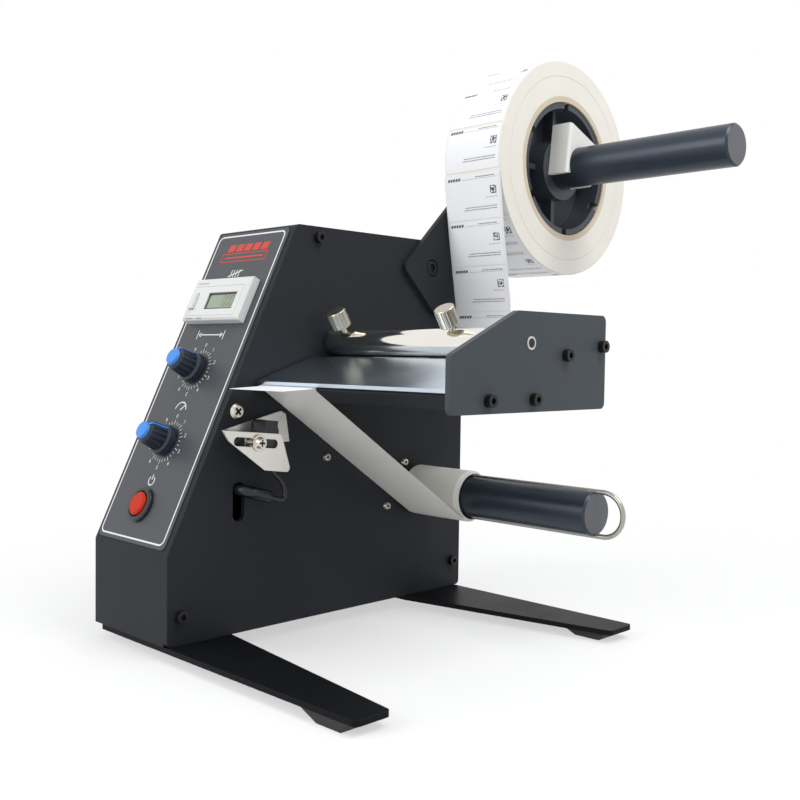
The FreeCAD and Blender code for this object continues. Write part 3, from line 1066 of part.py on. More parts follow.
# Power inlet: barrel socket low in the back wall
inlet_seat = FreeCAD.Placement(Vector(size.inlet_x, size.housing_depth, size.inlet_z) - centre,
                               FreeCAD.Rotation(Vector(1, 0, 0), -90))
turned("power_inlet", [
    ("0", "-inlet_depth"), ("inlet_radius", "-inlet_depth"), ("inlet_radius", "0"),
    ("inlet_flange_radius", "0"), ("inlet_flange_radius", "1.6"), ("inlet_hole_radius", "1.6"),
    ("inlet_hole_radius", "-9"), ("1", "-9"), ("1", "0.5"), ("0", "0.5")], inlet_seat)

doc.recompute()
troubled = [o.Name for o in doc.Objects if "Invalid" in o.State or "Error" in o.State]
if troubled:
    raise RuntimeError("objects failed: " + ", ".join(troubled))
os.makedirs("parts", exist_ok=True)
for piece in pieces:
    shape = piece.Shape
    if shape.isNull() or not shape.isValid() or not shape.Solids:
        raise RuntimeError("no valid solid in " + piece.Label)
    shape.exportStep(os.path.join("parts", piece.Label + ".step"))
print(len(pieces), "sub-parts written")
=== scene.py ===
import math
import random

import bmesh
import bpy
from mathutils import Matrix, Vector


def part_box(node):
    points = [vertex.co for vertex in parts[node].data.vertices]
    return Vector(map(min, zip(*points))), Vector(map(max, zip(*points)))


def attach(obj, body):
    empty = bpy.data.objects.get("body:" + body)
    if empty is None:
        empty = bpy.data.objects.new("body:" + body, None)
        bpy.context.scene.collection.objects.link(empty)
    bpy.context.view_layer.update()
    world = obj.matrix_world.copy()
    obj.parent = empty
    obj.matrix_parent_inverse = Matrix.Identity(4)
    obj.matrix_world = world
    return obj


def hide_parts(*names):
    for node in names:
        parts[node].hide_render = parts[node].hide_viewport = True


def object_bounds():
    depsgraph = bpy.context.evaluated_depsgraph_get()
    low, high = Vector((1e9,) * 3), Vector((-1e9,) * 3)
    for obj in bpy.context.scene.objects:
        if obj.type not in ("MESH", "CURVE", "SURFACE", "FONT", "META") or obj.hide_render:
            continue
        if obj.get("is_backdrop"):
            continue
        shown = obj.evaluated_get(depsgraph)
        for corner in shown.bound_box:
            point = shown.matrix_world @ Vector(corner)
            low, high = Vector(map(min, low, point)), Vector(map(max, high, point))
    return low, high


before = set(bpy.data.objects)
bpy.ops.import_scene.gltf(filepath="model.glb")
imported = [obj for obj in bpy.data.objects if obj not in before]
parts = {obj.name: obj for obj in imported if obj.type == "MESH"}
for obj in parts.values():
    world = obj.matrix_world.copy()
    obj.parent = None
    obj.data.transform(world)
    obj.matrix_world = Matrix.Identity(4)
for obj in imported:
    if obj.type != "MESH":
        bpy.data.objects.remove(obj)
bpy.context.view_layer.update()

# Camera: it stands at the right front corner, level with the peel table, turned 45 degrees to the side
# plate and looking down by 2.5 degrees, as solved from the housing's straight edges in the photograph
SIDE_FACE_X, FRONT_Y, UNDERSIDE_Z = 42, 149.9, 6.7
EYE = (396.68, -251.24, 134.63)
YAW, PITCH, ROLL = 44.785, 2.491, 0.777
FOCAL_LENGTH, SENSOR_WIDTH = 45.82, 36


def machine(x, y, z):
    """Point given in millimetres from the side plate's face, the housing's front and its underside."""
    return Vector(((x - SIDE_FACE_X) / 1000, (y - FRONT_Y) / 1000, (z + UNDERSIDE_Z) / 1000))


yaw, pitch, roll = (math.radians(angle) for angle in (YAW, PITCH, ROLL))
ahead = Vector((-math.sin(yaw) * math.cos(pitch), math.cos(yaw) * math.cos(pitch), -math.sin(pitch)))
level = ahead.cross(Vector((0, 0, 1))).normalized()
upright = level.cross(ahead)
right = level * math.cos(roll) + upright * math.sin(roll)
up = upright * math.cos(roll) - level * math.sin(roll)
camera = bpy.data.objects.new("camera", bpy.data.cameras.new("camera"))
camera.data.lens = FOCAL_LENGTH
camera.data.sensor_width = SENSOR_WIDTH
camera.data.clip_start = 0.01
camera.matrix_world = Matrix.Translation(machine(*EYE)) @ Matrix((right, up, -ahead)).transposed().to_4x4()
bpy.context.scene.collection.objects.link(camera)
bpy.context.scene.camera = camera


# Housing: a bent sheet cover closes round a thick side plate, which carries the arm and the table;
# a bottom plate and threaded blocks hold it from inside. Mild steel in a satin black powder coat,
# fine in grain and rubbed a little along its edges, all screwed together
def surface(name, color, rough, metal=0.0, grain=900, depth=0.15, mottle=0.12, wear=0.0,
            worn=(0.5, 0.5, 0.5), shine=0.5):
    """Finish with grain as bump, slow mottling of colour and gloss, and soft, worn edges."""
    material = bpy.data.materials.new(name)
    material.use_nodes = True
    nodes, links = material.node_tree.nodes, material.node_tree.links
    shader = nodes["Principled BSDF"]
    shader.inputs["Metallic"].default_value = metal
    shader.inputs["Specular IOR Level"].default_value = shine
    place = nodes.new("ShaderNodeTexCoord")
    noises = []
    for scale, detail in ((grain, 4), (28, 5)):
        noise = nodes.new("ShaderNodeTexNoise")
        noise.inputs["Scale"].default_value = scale
        noise.inputs["Detail"].default_value = detail
        links.new(place.outputs["Object"], noise.inputs["Vector"])
        noises.append(noise)
    fine, slow = noises
    rounded = nodes.new("ShaderNodeBevel")
    rounded.samples = 4
    rounded.inputs["Radius"].default_value = 0.0004
    bump = nodes.new("ShaderNodeBump")
    bump.inputs["Strength"].default_value = depth
    bump.inputs["Distance"].default_value = 0.0002
    links.new(fine.outputs["Fac"], bump.inputs["Height"])
    links.new(rounded.outputs["Normal"], bump.inputs["Normal"])
    links.new(bump.outputs["Normal"], shader.inputs["Normal"])
    gloss = nodes.new("ShaderNodeMapRange")
    gloss.inputs["From Min"].default_value = 0.3
    gloss.inputs["From Max"].default_value = 0.7
    gloss.inputs["To Min"].default_value = rough * (1 - mottle)
    gloss.inputs["To Max"].default_value = rough * (1 + mottle)
    links.new(slow.outputs["Fac"], gloss.inputs["Value"])
    links.new(gloss.outputs["Result"], shader.inputs["Roughness"])
    tint = nodes.new("ShaderNodeMix")
    tint.data_type = "RGBA"
    tint.inputs["A"].default_value = (*(channel * (1 - mottle) for channel in color), 1)
    tint.inputs["B"].default_value = (*(min(1, channel * (1 + mottle)) for channel in color), 1)
    links.new(slow.outputs["Fac"], tint.inputs["Factor"])
    base = tint.outputs["Result"]
    if wear:
        true_face = nodes.new("ShaderNodeNewGeometry")
        compare = nodes.new("ShaderNodeVectorMath")
        compare.operation = "DOT_PRODUCT"
        links.new(true_face.outputs["Normal"], compare.inputs[0])
        links.new(rounded.outputs["Normal"], compare.inputs[1])
        rub = nodes.new("ShaderNodeMapRange")
        rub.inputs["From Min"].default_value = 0.97
        rub.inputs["From Max"].default_value = 0.8
        rub.inputs["To Max"].default_value = wear
        links.new(compare.outputs["Value"], rub.inputs["Value"])
        broken = nodes.new("ShaderNodeMath")
        broken.operation = "MULTIPLY"
        links.new(rub.outputs["Result"], broken.inputs[0])
        links.new(slow.outputs["Fac"], broken.inputs[1])
        worn_mix = nodes.new("ShaderNodeMix")
        worn_mix.data_type = "RGBA"
        worn_mix.inputs["B"].default_value = (*worn, 1)
        links.new(broken.outputs["Value"], worn_mix.inputs["Factor"])
        links.new(base, worn_mix.inputs["A"])
        base = worn_mix.outputs["Result"]
    links.new(base, shader.inputs["Base Color"])
    return material


def dress(material, *names):
    """Give CAD pieces their finish."""
    for name in names:
        mesh = parts[name].data
        mesh.materials.clear()
        mesh.materials.append(material)


COAT_RUB = (0.13, 0.135, 0.15)
dress(surface("powder_coat", (0.024, 0.0258, 0.03), 0.5, grain=1400, depth=0.3, wear=0.45,
              worn=COAT_RUB, shine=0.1),
      "side_plate", "housing_cover", "base_plate", "peel_bed", "supply_arm", "corner_blocks")

# Outer plate: the same sheet steel and black coat, given a greyer colour as painted light for the light it
# catches from the right and above. It is one cut plate, held by four cap screws, and carries the far ends
# of the table, the guide rods and the press bar's axle
dress(surface("outer_coat_painted_light", (0.06, 0.069, 0.078), 0.42, grain=1400, depth=0.2, wear=0.45,
              worn=(0.2, 0.21, 0.23), shine=0.15), "outer_plate")

# Legs: two flat tapered bars that splay out under the housing and are screwed to its bottom plate,
# in the same black coat, given a darker colour as painted shade for their place low under the housing
dress(surface("leg_coat_painted_shade", (0.007, 0.0075, 0.009), 0.4, grain=1400, depth=0.2, wear=0.45,
              worn=COAT_RUB, shine=0.06), "front_leg", "rear_leg")

# Feet: moulded blocks under the leg tips and round pads under the housing, of dull black rubber,
# pushed on from below so that the machine doesn't creep over the bench
dress(surface("foot_rubber", (0.02, 0.02, 0.02), 0.75, grain=600, depth=0.3), "outer_feet", "inner_feet")

# Reel shaft and take-up shaft: turned bars under a black anodised coat, one fixed in the arm and one
# driven by the gear motor. Their end faces, which point along +X, get a paler colour as a painted highlight
anodised = surface("anodised_black", (0.028, 0.038, 0.054), 0.33, metal=0.4, grain=1800, depth=0.1,
                   wear=0.5, worn=(0.2, 0.21, 0.23))
END_HIGHLIGHT_PAINT = (0.1, 0.104, 0.118, 1)
shaft_nodes, shaft_links = anodised.node_tree.nodes, anodised.node_tree.links
facing = shaft_nodes.new("ShaderNodeSeparateXYZ")
shaft_links.new(shaft_nodes.new("ShaderNodeNewGeometry").outputs["Normal"], facing.inputs["Vector"])
# Painted highlight: faces pointing along +X are mixed towards the paler end colour
end_highlight_mask = shaft_nodes.new("ShaderNodeMapRange")
end_highlight_mask.inputs["From Min"].default_value = 0.9
end_highlight_mask.inputs["From Max"].default_value = 0.99
shaft_links.new(facing.outputs["X"], end_highlight_mask.inputs["Value"])
end_highlight_mix = shaft_nodes.new("ShaderNodeMix")
end_highlight_mix.data_type = "RGBA"
end_highlight_mix.inputs["B"].default_value = END_HIGHLIGHT_PAINT
shaft_colour = shaft_nodes["Principled BSDF"].inputs["Base Color"]
shaft_links.new(end_highlight_mask.outputs["Result"], end_highlight_mix.inputs["Factor"])
shaft_links.new(shaft_colour.links[0].from_socket, end_highlight_mix.inputs["A"])
shaft_links.new(end_highlight_mix.outputs["Result"], shaft_colour)
dress(anodised, "supply_shaft", "take_up_shaft")

# Black screws: socket cap screws of the plates, the flat heads of the arm and the screws of the legs,
# hardened steel in black oxide that the key has rubbed along the sockets' edges
dress(surface("black_oxide", (0.012, 0.012, 0.013), 0.38, metal=0.5, grain=1500, depth=0.15,
              wear=0.4, worn=(0.15, 0.15, 0.15)),
      "cover_screws", "outer_plate_screws", "arm_screws", "leg_screws")

# Bright screws: cross-head screws of the drive, the board, the panel's edge and the sensor,
# nickel-plated steel, all driven from the open side of the machine
dress(surface("nickel", (0.66, 0.62, 0.55), 0.22, metal=1.0, grain=900, depth=0.08, mottle=0.08),
      "small_screws", "cross_screw", "sensor_screw")

# Thumb screws: turned brass under dull nickel, with a straight knurl that is darker in its valleys.
# They are screwed into the press bar and swing with it
dress(surface("dull_nickel", (0.5, 0.47, 0.39), 0.34, metal=1.0, grain=900, depth=0.12, mottle=0.14),
      "thumb_screw_left", "thumb_screw_right")

# Peel plate: thin stainless sheet, polished and faintly brushed across, folded over the black bed.
# Its nose turns the liner back so sharply that the labels come off. Its steel colour carries a blue cast, a
# painted reflection of the bluish dark parts it mirrors
dress(surface("stainless", (0.6, 0.68, 0.76), 0.22, metal=1.0, grain=500, depth=0.04, mottle=0.1),
      "peel_plate")

# Press bar: a thick chrome-plated bar over the table, turning on its axle between the two plates,
# which keeps the web of labels down
dress(surface("chrome", (0.84, 0.82, 0.77), 0.07, metal=1.0, grain=400, depth=0.02, mottle=0.05),
      "press_bar")

# Guide rods and axle: ground steel rods between the side plate and the outer plate, bare metal,
# fixed from outside by the cap screws
dress(surface("ground_steel", (0.55, 0.55, 0.56), 0.25, metal=1.0, grain=1200, depth=0.06),
      "guide_rods", "press_bar_axle")

# Sensor bracket: zinc-plated sheet, cut and bent to two cheeks with a bridge between them.
# It stands against the side plate under the table, and its long slot lets the sensor slide
dress(surface("zinc", (0.68, 0.66, 0.62), 0.28, metal=1.0, grain=700, depth=0.06, mottle=0.14),
      "sensor_bracket")

# Black mouldings: the switch's ring, the sensor's head, the edge collar, the press bar's bush, the
# flanged bearing and the power inlet, moulded plastic with a slight gloss, pushed or screwed in place
dress(surface("black_moulding", (0.014, 0.016, 0.021), 0.32, grain=1100, depth=0.12),
      "power_switch", "sensor_head", "guide_collar", "press_bar_bush", "take_up_bearing", "power_inlet")

# Reel hub: a blue-black moulding with boss, web, ribs and notched rim, which turns on the reel shaft.
# It is greyer along its edges, where the cardboard cores rub it
dress(surface("hub_moulding", (0.042, 0.049, 0.06), 0.36, grain=1100, depth=0.12, wear=0.3,
              worn=(0.16, 0.17, 0.19), mottle=0.2), "supply_hub")

# Knobs: moulded black plastic with flutes for the fingers and a dull skin,
# pushed on the potentiometers' shafts
dress(surface("knob_black", (0.007, 0.015, 0.03), 0.45, grain=1300, depth=0.2),
      "length_knob", "speed_knob")

# Sensor's cable: a thin lead in a black plastic sheath that loops down from the sensor
# and runs through a thicker sleeve in the side plate's slot
dress(surface("cable_black", (0.007, 0.008, 0.01), 0.3, grain=800, depth=0.15),
      "sensor_lead", "lead_sleeve")

# Stop clip: white moulded plastic with a leaning front, snapped over the reel shaft,
# which keeps the roll from walking off
dress(surface("clip_white", (0.84, 0.83, 0.79), 0.45, grain=500, depth=0.08, mottle=0.04),
      "reel_stop_clip")

# Core of the roll: a wound tube of grey-brown cardboard, soft and rough,
# pushed over the hub's rim
dress(surface("core_card", (0.66, 0.57, 0.43), 0.85, grain=700, depth=0.4, mottle=0.16), "label_core")

# Liner: smooth translucent backing paper, peeled bare at the nose, drawn down to the take-up shaft
# and wound up there in a few layers
dress(surface("liner_paper", (0.8, 0.785, 0.735), 0.38, grain=300, depth=0.1, mottle=0.04),
      "liner_web", "liner_winding")

# Labels: coated white paper, still on their backing along the web, and one label standing out
# past the nose, ready to be taken
paper = surface("label_paper", (0.93, 0.93, 0.94), 0.5, grain=900, depth=0.06, mottle=0.03)
dress(paper, "label_web", "front_label")

# Overlay: a dark printed film with a soft sheen, stuck to the slanted panel,
# with holes for the counter, the two knobs and the switch. Its colour is set lighter than the film's own
# dark grey, a painted sheen on top of the real one
dress(surface("panel_print", (0.056, 0.06, 0.068), 0.42, grain=900, depth=0.12, mottle=0.06,
              shine=0.4), "panel_overlay")

# Counter: an off-white moulded case with a key, snapped into the panel,
# and a grey-green liquid crystal display behind a clear window
dress(surface("counter_case", (0.7, 0.71, 0.69), 0.5, grain=800, depth=0.12, mottle=0.04),
      "counter_case", "counter_reset")
dress(surface("counter_lcd", (0.3, 0.36, 0.26), 0.2, grain=300, depth=0.03, mottle=0.08), "counter_lcd")

# Button and caps: a glossy red plunger that slides in the switch's ring,
# and the blue caps that are pressed into the knobs' ends
dress(surface("button_red", (0.52, 0.028, 0.008), 0.34, grain=400, depth=0.04, mottle=0.06,
              shine=0.15), "power_button")
blue = surface("cap_blue", (0.04, 0.26, 0.76), 0.4, grain=600, depth=0.08, mottle=0.06)
dress(blue, "length_knob_cap", "speed_knob_cap")

# Drive and controls behind the sheet: plain metal potentiometers, gearbox and motor, and a green board
# on brass standoffs, all screwed on from inside
dress(surface("drive_metal", (0.5, 0.5, 0.49), 0.4, metal=1.0, grain=700, depth=0.1),
      "length_pot", "speed_pot", "gearbox", "drive_motor")
dress(surface("board_green", (0.03, 0.16, 0.07), 0.45, grain=500, depth=0.1), "control_board")
dress(surface("brass", (0.7, 0.5, 0.2), 0.3, metal=1.0, grain=700, depth=0.1), "board_standoffs")

# Wire clip: spring steel wire bent to a long bow, pushed into the two lanes of the take-up shaft,
# which clamps the liner's end
dress(surface("spring_steel", (0.42, 0.4, 0.36), 0.3, metal=1.0, grain=900, depth=0.06), "wire_clip")

# Wound roll: many turns of labels on their liner, seen from the side as thin cream rings. The paper is
# wound tight on the core, with broken edges at the rim and one proud turn that leaves a fine groove
REEL_Y, REEL_Z, REEL_R = 238.8, 244.1, 61
ROLL_NEAR, ROLL_FAR = 4.0, 44.0
BORE_R, RIM_R, GROOVE_R = 41.0, 60.85, 52.3
EDGE_IN, EDGE_DOWN = 0.3, 0.35
GROOVE_HALF, GROOVE_DEEP = 0.1, 0.15
ROLL_STEPS = 160


def mesh_piece(name, points, faces, material, body):
    """New piece from points in metres, already in the object's frame."""
    mesh = bpy.data.meshes.new(name)
    mesh.from_pydata([tuple(p) for p in points], [], faces)
    mesh.materials.append(material)
    mesh.validate()
    piece = bpy.data.objects.new(name, mesh)
    bpy.context.scene.collection.objects.link(piece)
    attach(piece, body)
    return piece


def spun(profile, centre_y, centre_z, steps):
    """Points and faces of a closed ring: profile of (x, radius) turned about the machine's X."""
    points, faces = [], []
    count = len(profile)
    for step in range(steps):
        angle = 2 * math.pi * step / steps
        for x, radius in profile:
            points.append(machine(x, centre_y + radius * math.cos(angle),
                                  centre_z + radius * math.sin(angle)))
    for step in range(steps):
        here, after = step * count, (step + 1) % steps * count
        for near in range(count):
            far = (near + 1) % count
            faces.append((here + near, after + near, after + far, here + far))
    return points, faces


def smooth(piece, angle=35):
    """Smooth shading that keeps edges sharper than the angle."""
    work = bmesh.new()
    work.from_mesh(piece.data)
    bmesh.ops.recalc_face_normals(work, faces=work.faces)
    for face in work.faces:
        face.smooth = True
    for edge in work.edges:
        if len(edge.link_faces) == 2 and edge.calc_face_angle() > math.radians(angle):
            edge.smooth = False
    work.to_mesh(piece.data)
    work.free()


def wound_paper():
    """Cream paper edge: thin rings by distance from the reel's axis, over slow mottling."""
    material = surface("wound_paper", (0.86, 0.825, 0.74), 0.7, grain=900, depth=0.08, mottle=0.06)
    nodes, links = material.node_tree.nodes, material.node_tree.links
    colour = nodes["Principled BSDF"].inputs["Base Color"]
    mottled = colour.links[0].from_socket
    place = nodes.new("ShaderNodeTexCoord")
    shift = nodes.new("ShaderNodeVectorMath")
    shift.operation = "SUBTRACT"
    shift.inputs[1].default_value = machine(0, REEL_Y, REEL_Z)
    links.new(place.outputs["Object"], shift.inputs[0])
    flat = nodes.new("ShaderNodeVectorMath")
    flat.operation = "MULTIPLY"
    flat.inputs[1].default_value = (0, 1, 1)
    links.new(shift.outputs["Vector"], flat.inputs[0])
    reach = nodes.new("ShaderNodeVectorMath")
    reach.operation = "LENGTH"
    links.new(flat.outputs["Vector"], reach.inputs[0])
    rings = nodes.new("ShaderNodeTexNoise")
    rings.noise_dimensions = "1D"
    rings.inputs["Scale"].default_value = 2600
    rings.inputs["Detail"].default_value = 3
    links.new(reach.outputs["Value"], rings.inputs["W"])
    tone = nodes.new("ShaderNodeMapRange")
    tone.inputs["From Min"].default_value = 0.3
    tone.inputs["From Max"].default_value = 0.7
    tone.inputs["To Min"].default_value = 0.93
    tone.inputs["To Max"].default_value = 1.03
    links.new(rings.outputs["Fac"], tone.inputs["Value"])
    shade = nodes.new("ShaderNodeVectorMath")
    shade.operation = "SCALE"
    links.new(mottled, shade.inputs[0])
    links.new(tone.outputs["Result"], shade.inputs["Scale"])
    links.new(shade.outputs["Vector"], colour)
    return material


roll_profile = [(ROLL_NEAR, BORE_R), (ROLL_NEAR, RIM_R - EDGE_DOWN), (ROLL_NEAR + EDGE_IN, RIM_R),
                (ROLL_FAR - EDGE_IN, RIM_R), (ROLL_FAR, RIM_R - EDGE_DOWN),
                (ROLL_FAR, GROOVE_R + GROOVE_HALF), (ROLL_FAR - GROOVE_DEEP, GROOVE_R),
                (ROLL_FAR, GROOVE_R - GROOVE_HALF), (ROLL_FAR, BORE_R)]
roll_points, roll_faces = spun(roll_profile, REEL_Y, REEL_Z, ROLL_STEPS)
wound = mesh_piece("wound_roll", roll_points, roll_faces, wound_paper(), "reel")
smooth(wound)
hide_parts("label_roll")

# Labels round the roll: fifteen die-cut labels lie on the outermost turn, one pitch apart. Each has
# made-up print: a bold word of slanted blocks, a rule, a square code and lines of small type,
# in black thermal ink that is flush with the paper
LABEL_WIDE, LABEL_HIGH, LABEL_LEFT, LABEL_THICK = 38.4, 24.0, 4.8, 0.12
LABEL_STEPS = 12
INK_LIFT = 0.15
LABELS_ROUND = 15
PITCH = 2 * math.pi * REEL_R / LABELS_ROUND
FIRST_LABEL_ANGLE = 188
WORD_BLOCKS, WORD_STEP = 5, 1.9
CODE_CELLS, CODE_CELL, CODE_LEFT, CODE_TOP = 7, 0.62, 31.8, 6.4
CODE_FILL_BY_RING = (1, 0.75, 0.2, 0.85)
SMALL_TYPE = ((12.3, 28.5, 36.5, 0.28), (17.0, 13.5, 36, 0.5), (18.3, 12.5, 36, 0.5))
ink = surface("label_ink", (0.09, 0.09, 0.1), 0.6, grain=900, depth=0.05)


def label_marks(seed):
    """Corners of each printed mark, across and down one label in millimetres."""
    draw = random.Random(seed)
    marks = []

    def bar(left, top, width, height, lean=0.0):
        marks.append([(left + lean, top), (left + width + lean, top), (left + width, top + height),
                      (left, top + height)])

    for block in range(WORD_BLOCKS):
        bar(1.6 + WORD_STEP * block, 0.5, 1.45, 1.5, 0.5)
    bar(11.8, 1.75, 25, 0.13)
    reach = 22.0
    while reach < 35:
        width = draw.uniform(0.3, 1.0)
        bar(reach, 0.6, width, 0.55)
        reach += width + 0.35
    middle = CODE_CELLS // 2
    for row in range(CODE_CELLS):
        for column in range(CODE_CELLS):
            ring = max(abs(row - middle), abs(column - middle))
            if draw.random() < CODE_FILL_BY_RING[ring]:
                bar(CODE_LEFT + CODE_CELL * column, CODE_TOP + CODE_CELL * row, CODE_CELL, CODE_CELL)
    for top, left, end, height in SMALL_TYPE:
        reach = left
        while reach < end:
            width = draw.uniform(0.25, 0.85)
            bar(reach, top, min(width, end - reach), height)
            reach += width + 0.3
    return marks


def lay_label(rail, points, faces, ink_points, ink_faces, seed):
    """One label and its print along a rail, which gives (y, z) and the outward normal at a distance."""
    first = len(points)
    for lift in (0, LABEL_THICK):
        for step in range(LABEL_STEPS + 1):
            (y, z), (out_y, out_z) = rail(LABEL_HIGH * step / LABEL_STEPS)
            for x in (LABEL_LEFT, LABEL_LEFT + LABEL_WIDE):
                points.append(machine(x, y + out_y * lift, z + out_z * lift))
    upper = first + 2 * (LABEL_STEPS + 1)
    for step in range(LABEL_STEPS):
        a, b = first + 2 * step, upper + 2 * step
        faces.append((b, b + 1, b + 3, b + 2))
        faces.append((a, a + 2, a + 3, a + 1))
        faces.append((a, b, b + 2, a + 2))
        faces.append((a + 1, a + 3, b + 3, b + 1))
    last = 2 * LABEL_STEPS
    faces.append((first, first + 1, upper + 1, upper))
    faces.append((first + last, upper + last, upper + last + 1, first + last + 1))
    for corners in label_marks(seed):
        begin = len(ink_points)
        for across, down in corners:
            (y, z), (out_y, out_z) = rail(down)
            ink_points.append(machine(LABEL_LEFT + across, y + out_y * INK_LIFT, z + out_z * INK_LIFT))
        ink_faces.append(tuple(range(begin, begin + len(corners))))


def sheet_of(name, points, faces):
    """Mesh from points in metres."""
    mesh = bpy.data.meshes.new(name)
    mesh.from_pydata([tuple(p) for p in points], [], faces)
    return mesh


def rule_tree(name, *sizes):
    """Empty Geometry Nodes tree with named size inputs: the tree, its ends and the size sockets."""
    tree = bpy.data.node_groups.new(name + "_rule", "GeometryNodeTree")
    tree.interface.new_socket("Geometry", in_out="INPUT", socket_type="NodeSocketGeometry")
    sockets = [tree.interface.new_socket(label, in_out="INPUT", socket_type=kind) for label, kind in sizes]
    tree.interface.new_socket("Geometry", in_out="OUTPUT", socket_type="NodeSocketGeometry")
    return tree, tree.nodes.new("NodeGroupInput"), tree.nodes.new("NodeGroupOutput"), sockets


def finish_rule(tree, copies, leave, material, back=None):
    """End of a rule: copies made real, moved back if asked, painted and handed out."""
    real = tree.nodes.new("GeometryNodeRealizeInstances")
    paint = tree.nodes.new("GeometryNodeSetMaterial")
    paint.inputs["Material"].default_value = material
    tree.links.new(copies, real.inputs["Geometry"])
    result = real.outputs["Geometry"]
    if back:
        home = tree.nodes.new("GeometryNodeTransform")
        home.inputs["Translation"].default_value = back
        tree.links.new(result, home.inputs["Geometry"])
        result = home.outputs["Geometry"]
    tree.links.new(result, paint.inputs["Geometry"])
    tree.links.new(paint.outputs["Geometry"], leave.inputs["Geometry"])


def made_plain(name, source, tree, sizes, material):
    """Piece with a plain mesh: the rule is run on a source mesh with its sizes set, then removed."""
    carrier = bpy.data.objects.new(name + "_source", source)
    bpy.context.scene.collection.objects.link(carrier)
    rule = carrier.modifiers.new("copies", "NODES")
    rule.node_group = tree
    for socket, value in sizes:
        rule[socket.identifier] = value
    bpy.context.view_layer.update()
    made = bpy.data.meshes.new_from_object(carrier.evaluated_get(bpy.context.evaluated_depsgraph_get()))
    carrier.modifiers.clear()
    bpy.data.objects.remove(carrier)
    made.materials.clear()
    made.materials.append(material)
    piece = bpy.data.objects.new(name, made)
    bpy.context.scene.collection.objects.link(piece)
    return piece


def around(name, source, count, axis_point, material):
    """Copies of a mesh turned evenly about the X direction through a point."""
    tree, enter, leave, (copies,) = rule_tree(name, ("Copies", "NodeSocketInt"))
    nodes, links = tree.nodes, tree.links
    shift = nodes.new("GeometryNodeTransform")
    shift.inputs["Translation"].default_value = -axis_point
    line = nodes.new("GeometryNodeMeshLine")
    line.inputs["Offset"].default_value = (0, 0, 0)
    stand = nodes.new("GeometryNodeInstanceOnPoints")
    index = nodes.new("GeometryNodeInputIndex")
    share = nodes.new("ShaderNodeMath")
    share.operation = "DIVIDE"
    full = nodes.new("ShaderNodeMath")
    full.operation = "MULTIPLY"
    full.inputs[1].default_value = 2 * math.pi
    angles = nodes.new("ShaderNodeCombineXYZ")
    links.new(enter.outputs["Geometry"], shift.inputs["Geometry"])
    links.new(enter.outputs["Copies"], line.inputs["Count"])
    links.new(line.outputs["Mesh"], stand.inputs["Points"])
    links.new(shift.outputs["Geometry"], stand.inputs["Instance"])
    links.new(index.outputs["Index"], share.inputs[0])
    links.new(enter.outputs["Copies"], share.inputs[1])
    links.new(share.outputs["Value"], full.inputs[0])
    links.new(full.outputs["Value"], angles.inputs["X"])
    links.new(angles.outputs["Vector"], stand.inputs["Rotation"])
    finish_rule(tree, stand.outputs["Instances"], leave, material, axis_point)
    return made_plain(name, source, tree, [(copies, count)], material)


def rim_rail(distance):
    """Rail round the roll's rim, from the first label's top."""
    angle = math.radians(FIRST_LABEL_ANGLE) + distance / (REEL_R - 0.1)
    radial = (math.cos(angle), math.sin(angle))
    return (REEL_Y + radial[0] * (REEL_R - 0.15), REEL_Z + radial[1] * (REEL_R - 0.15)), radial


rim_parts = ([], [], [], [])
lay_label(rim_rail, *rim_parts, 7)
reel_axis = machine(0, REEL_Y, REEL_Z)
rim_labels = around("rim_labels", sheet_of("rim_label", *rim_parts[:2]), LABELS_ROUND, reel_axis, paper)
rim_print = around("rim_print", sheet_of("rim_ink", *rim_parts[2:]), LABELS_ROUND, reel_axis, ink)
for piece in (rim_labels, rim_print):
    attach(piece, "reel")

# Labels on the hanging web: the same printed labels at the same pitch, on the outer face of the liner
# as it leaves the roll, hangs in a slack loop behind the table and turns in under the guide rods
WEB_CORNERS = [(175.571, 235.214, 0), (180.414, 200.753, 200), (187.5, 160, 80), (188, 138, 30),
               (180, 119.5, 16), (158, 120.5, 30), (140, 129.5, 40), (118, 133.5, 60), (100, 133.5, 0)]
BEND_STEPS = 8
FIRST_LABEL_DOWN, WEB_LABELS, WEB_FACE = 1.2, 6, 2.12


def web_path():
    """Fine line through the web's corners, given as (y, z, bend radius), from the roll to the table."""
    path = [Vector(WEB_CORNERS[0][:2])]
    for before, here, after in zip(WEB_CORNERS, WEB_CORNERS[1:], WEB_CORNERS[2:]):
        spot = Vector(here[:2])
        back = (Vector(before[:2]) - spot).normalized()
        on = (Vector(after[:2]) - spot).normalized()
        reach = here[2] * math.tan((math.pi - back.angle(on)) / 2)
        start, end = spot + back * reach, spot + on * reach
        for step in range(BEND_STEPS + 1):
            share = step / BEND_STEPS
            path.append(start * (1 - share) ** 2 + spot * 2 * share * (1 - share) + end * share ** 2)
    path.append(Vector(WEB_CORNERS[-1][:2]))
    return path


def web_rail(path, start):
    """Rail along the web's outer face from a distance below the roll."""
    def rail(distance):
        left = start + distance
        for a, b in zip(path, path[1:]):
            step = (b - a).length
            if left <= step or b is path[-1]:
                run = (b - a) / step
                out = Vector((run.y, -run.x))
                return tuple(a + run * left - out * WEB_FACE), tuple(out)
            left -= step
    return rail


web = web_path()
web_parts = ([], [], [], [])
for k in range(WEB_LABELS):
    lay_label(web_rail(web, FIRST_LABEL_DOWN + PITCH * k), *web_parts, 20 + k)
mesh_piece("web_labels", web_parts[0], web_parts[1], paper, "machine")
mesh_piece("web_print", web_parts[2], web_parts[3], ink, "machine")

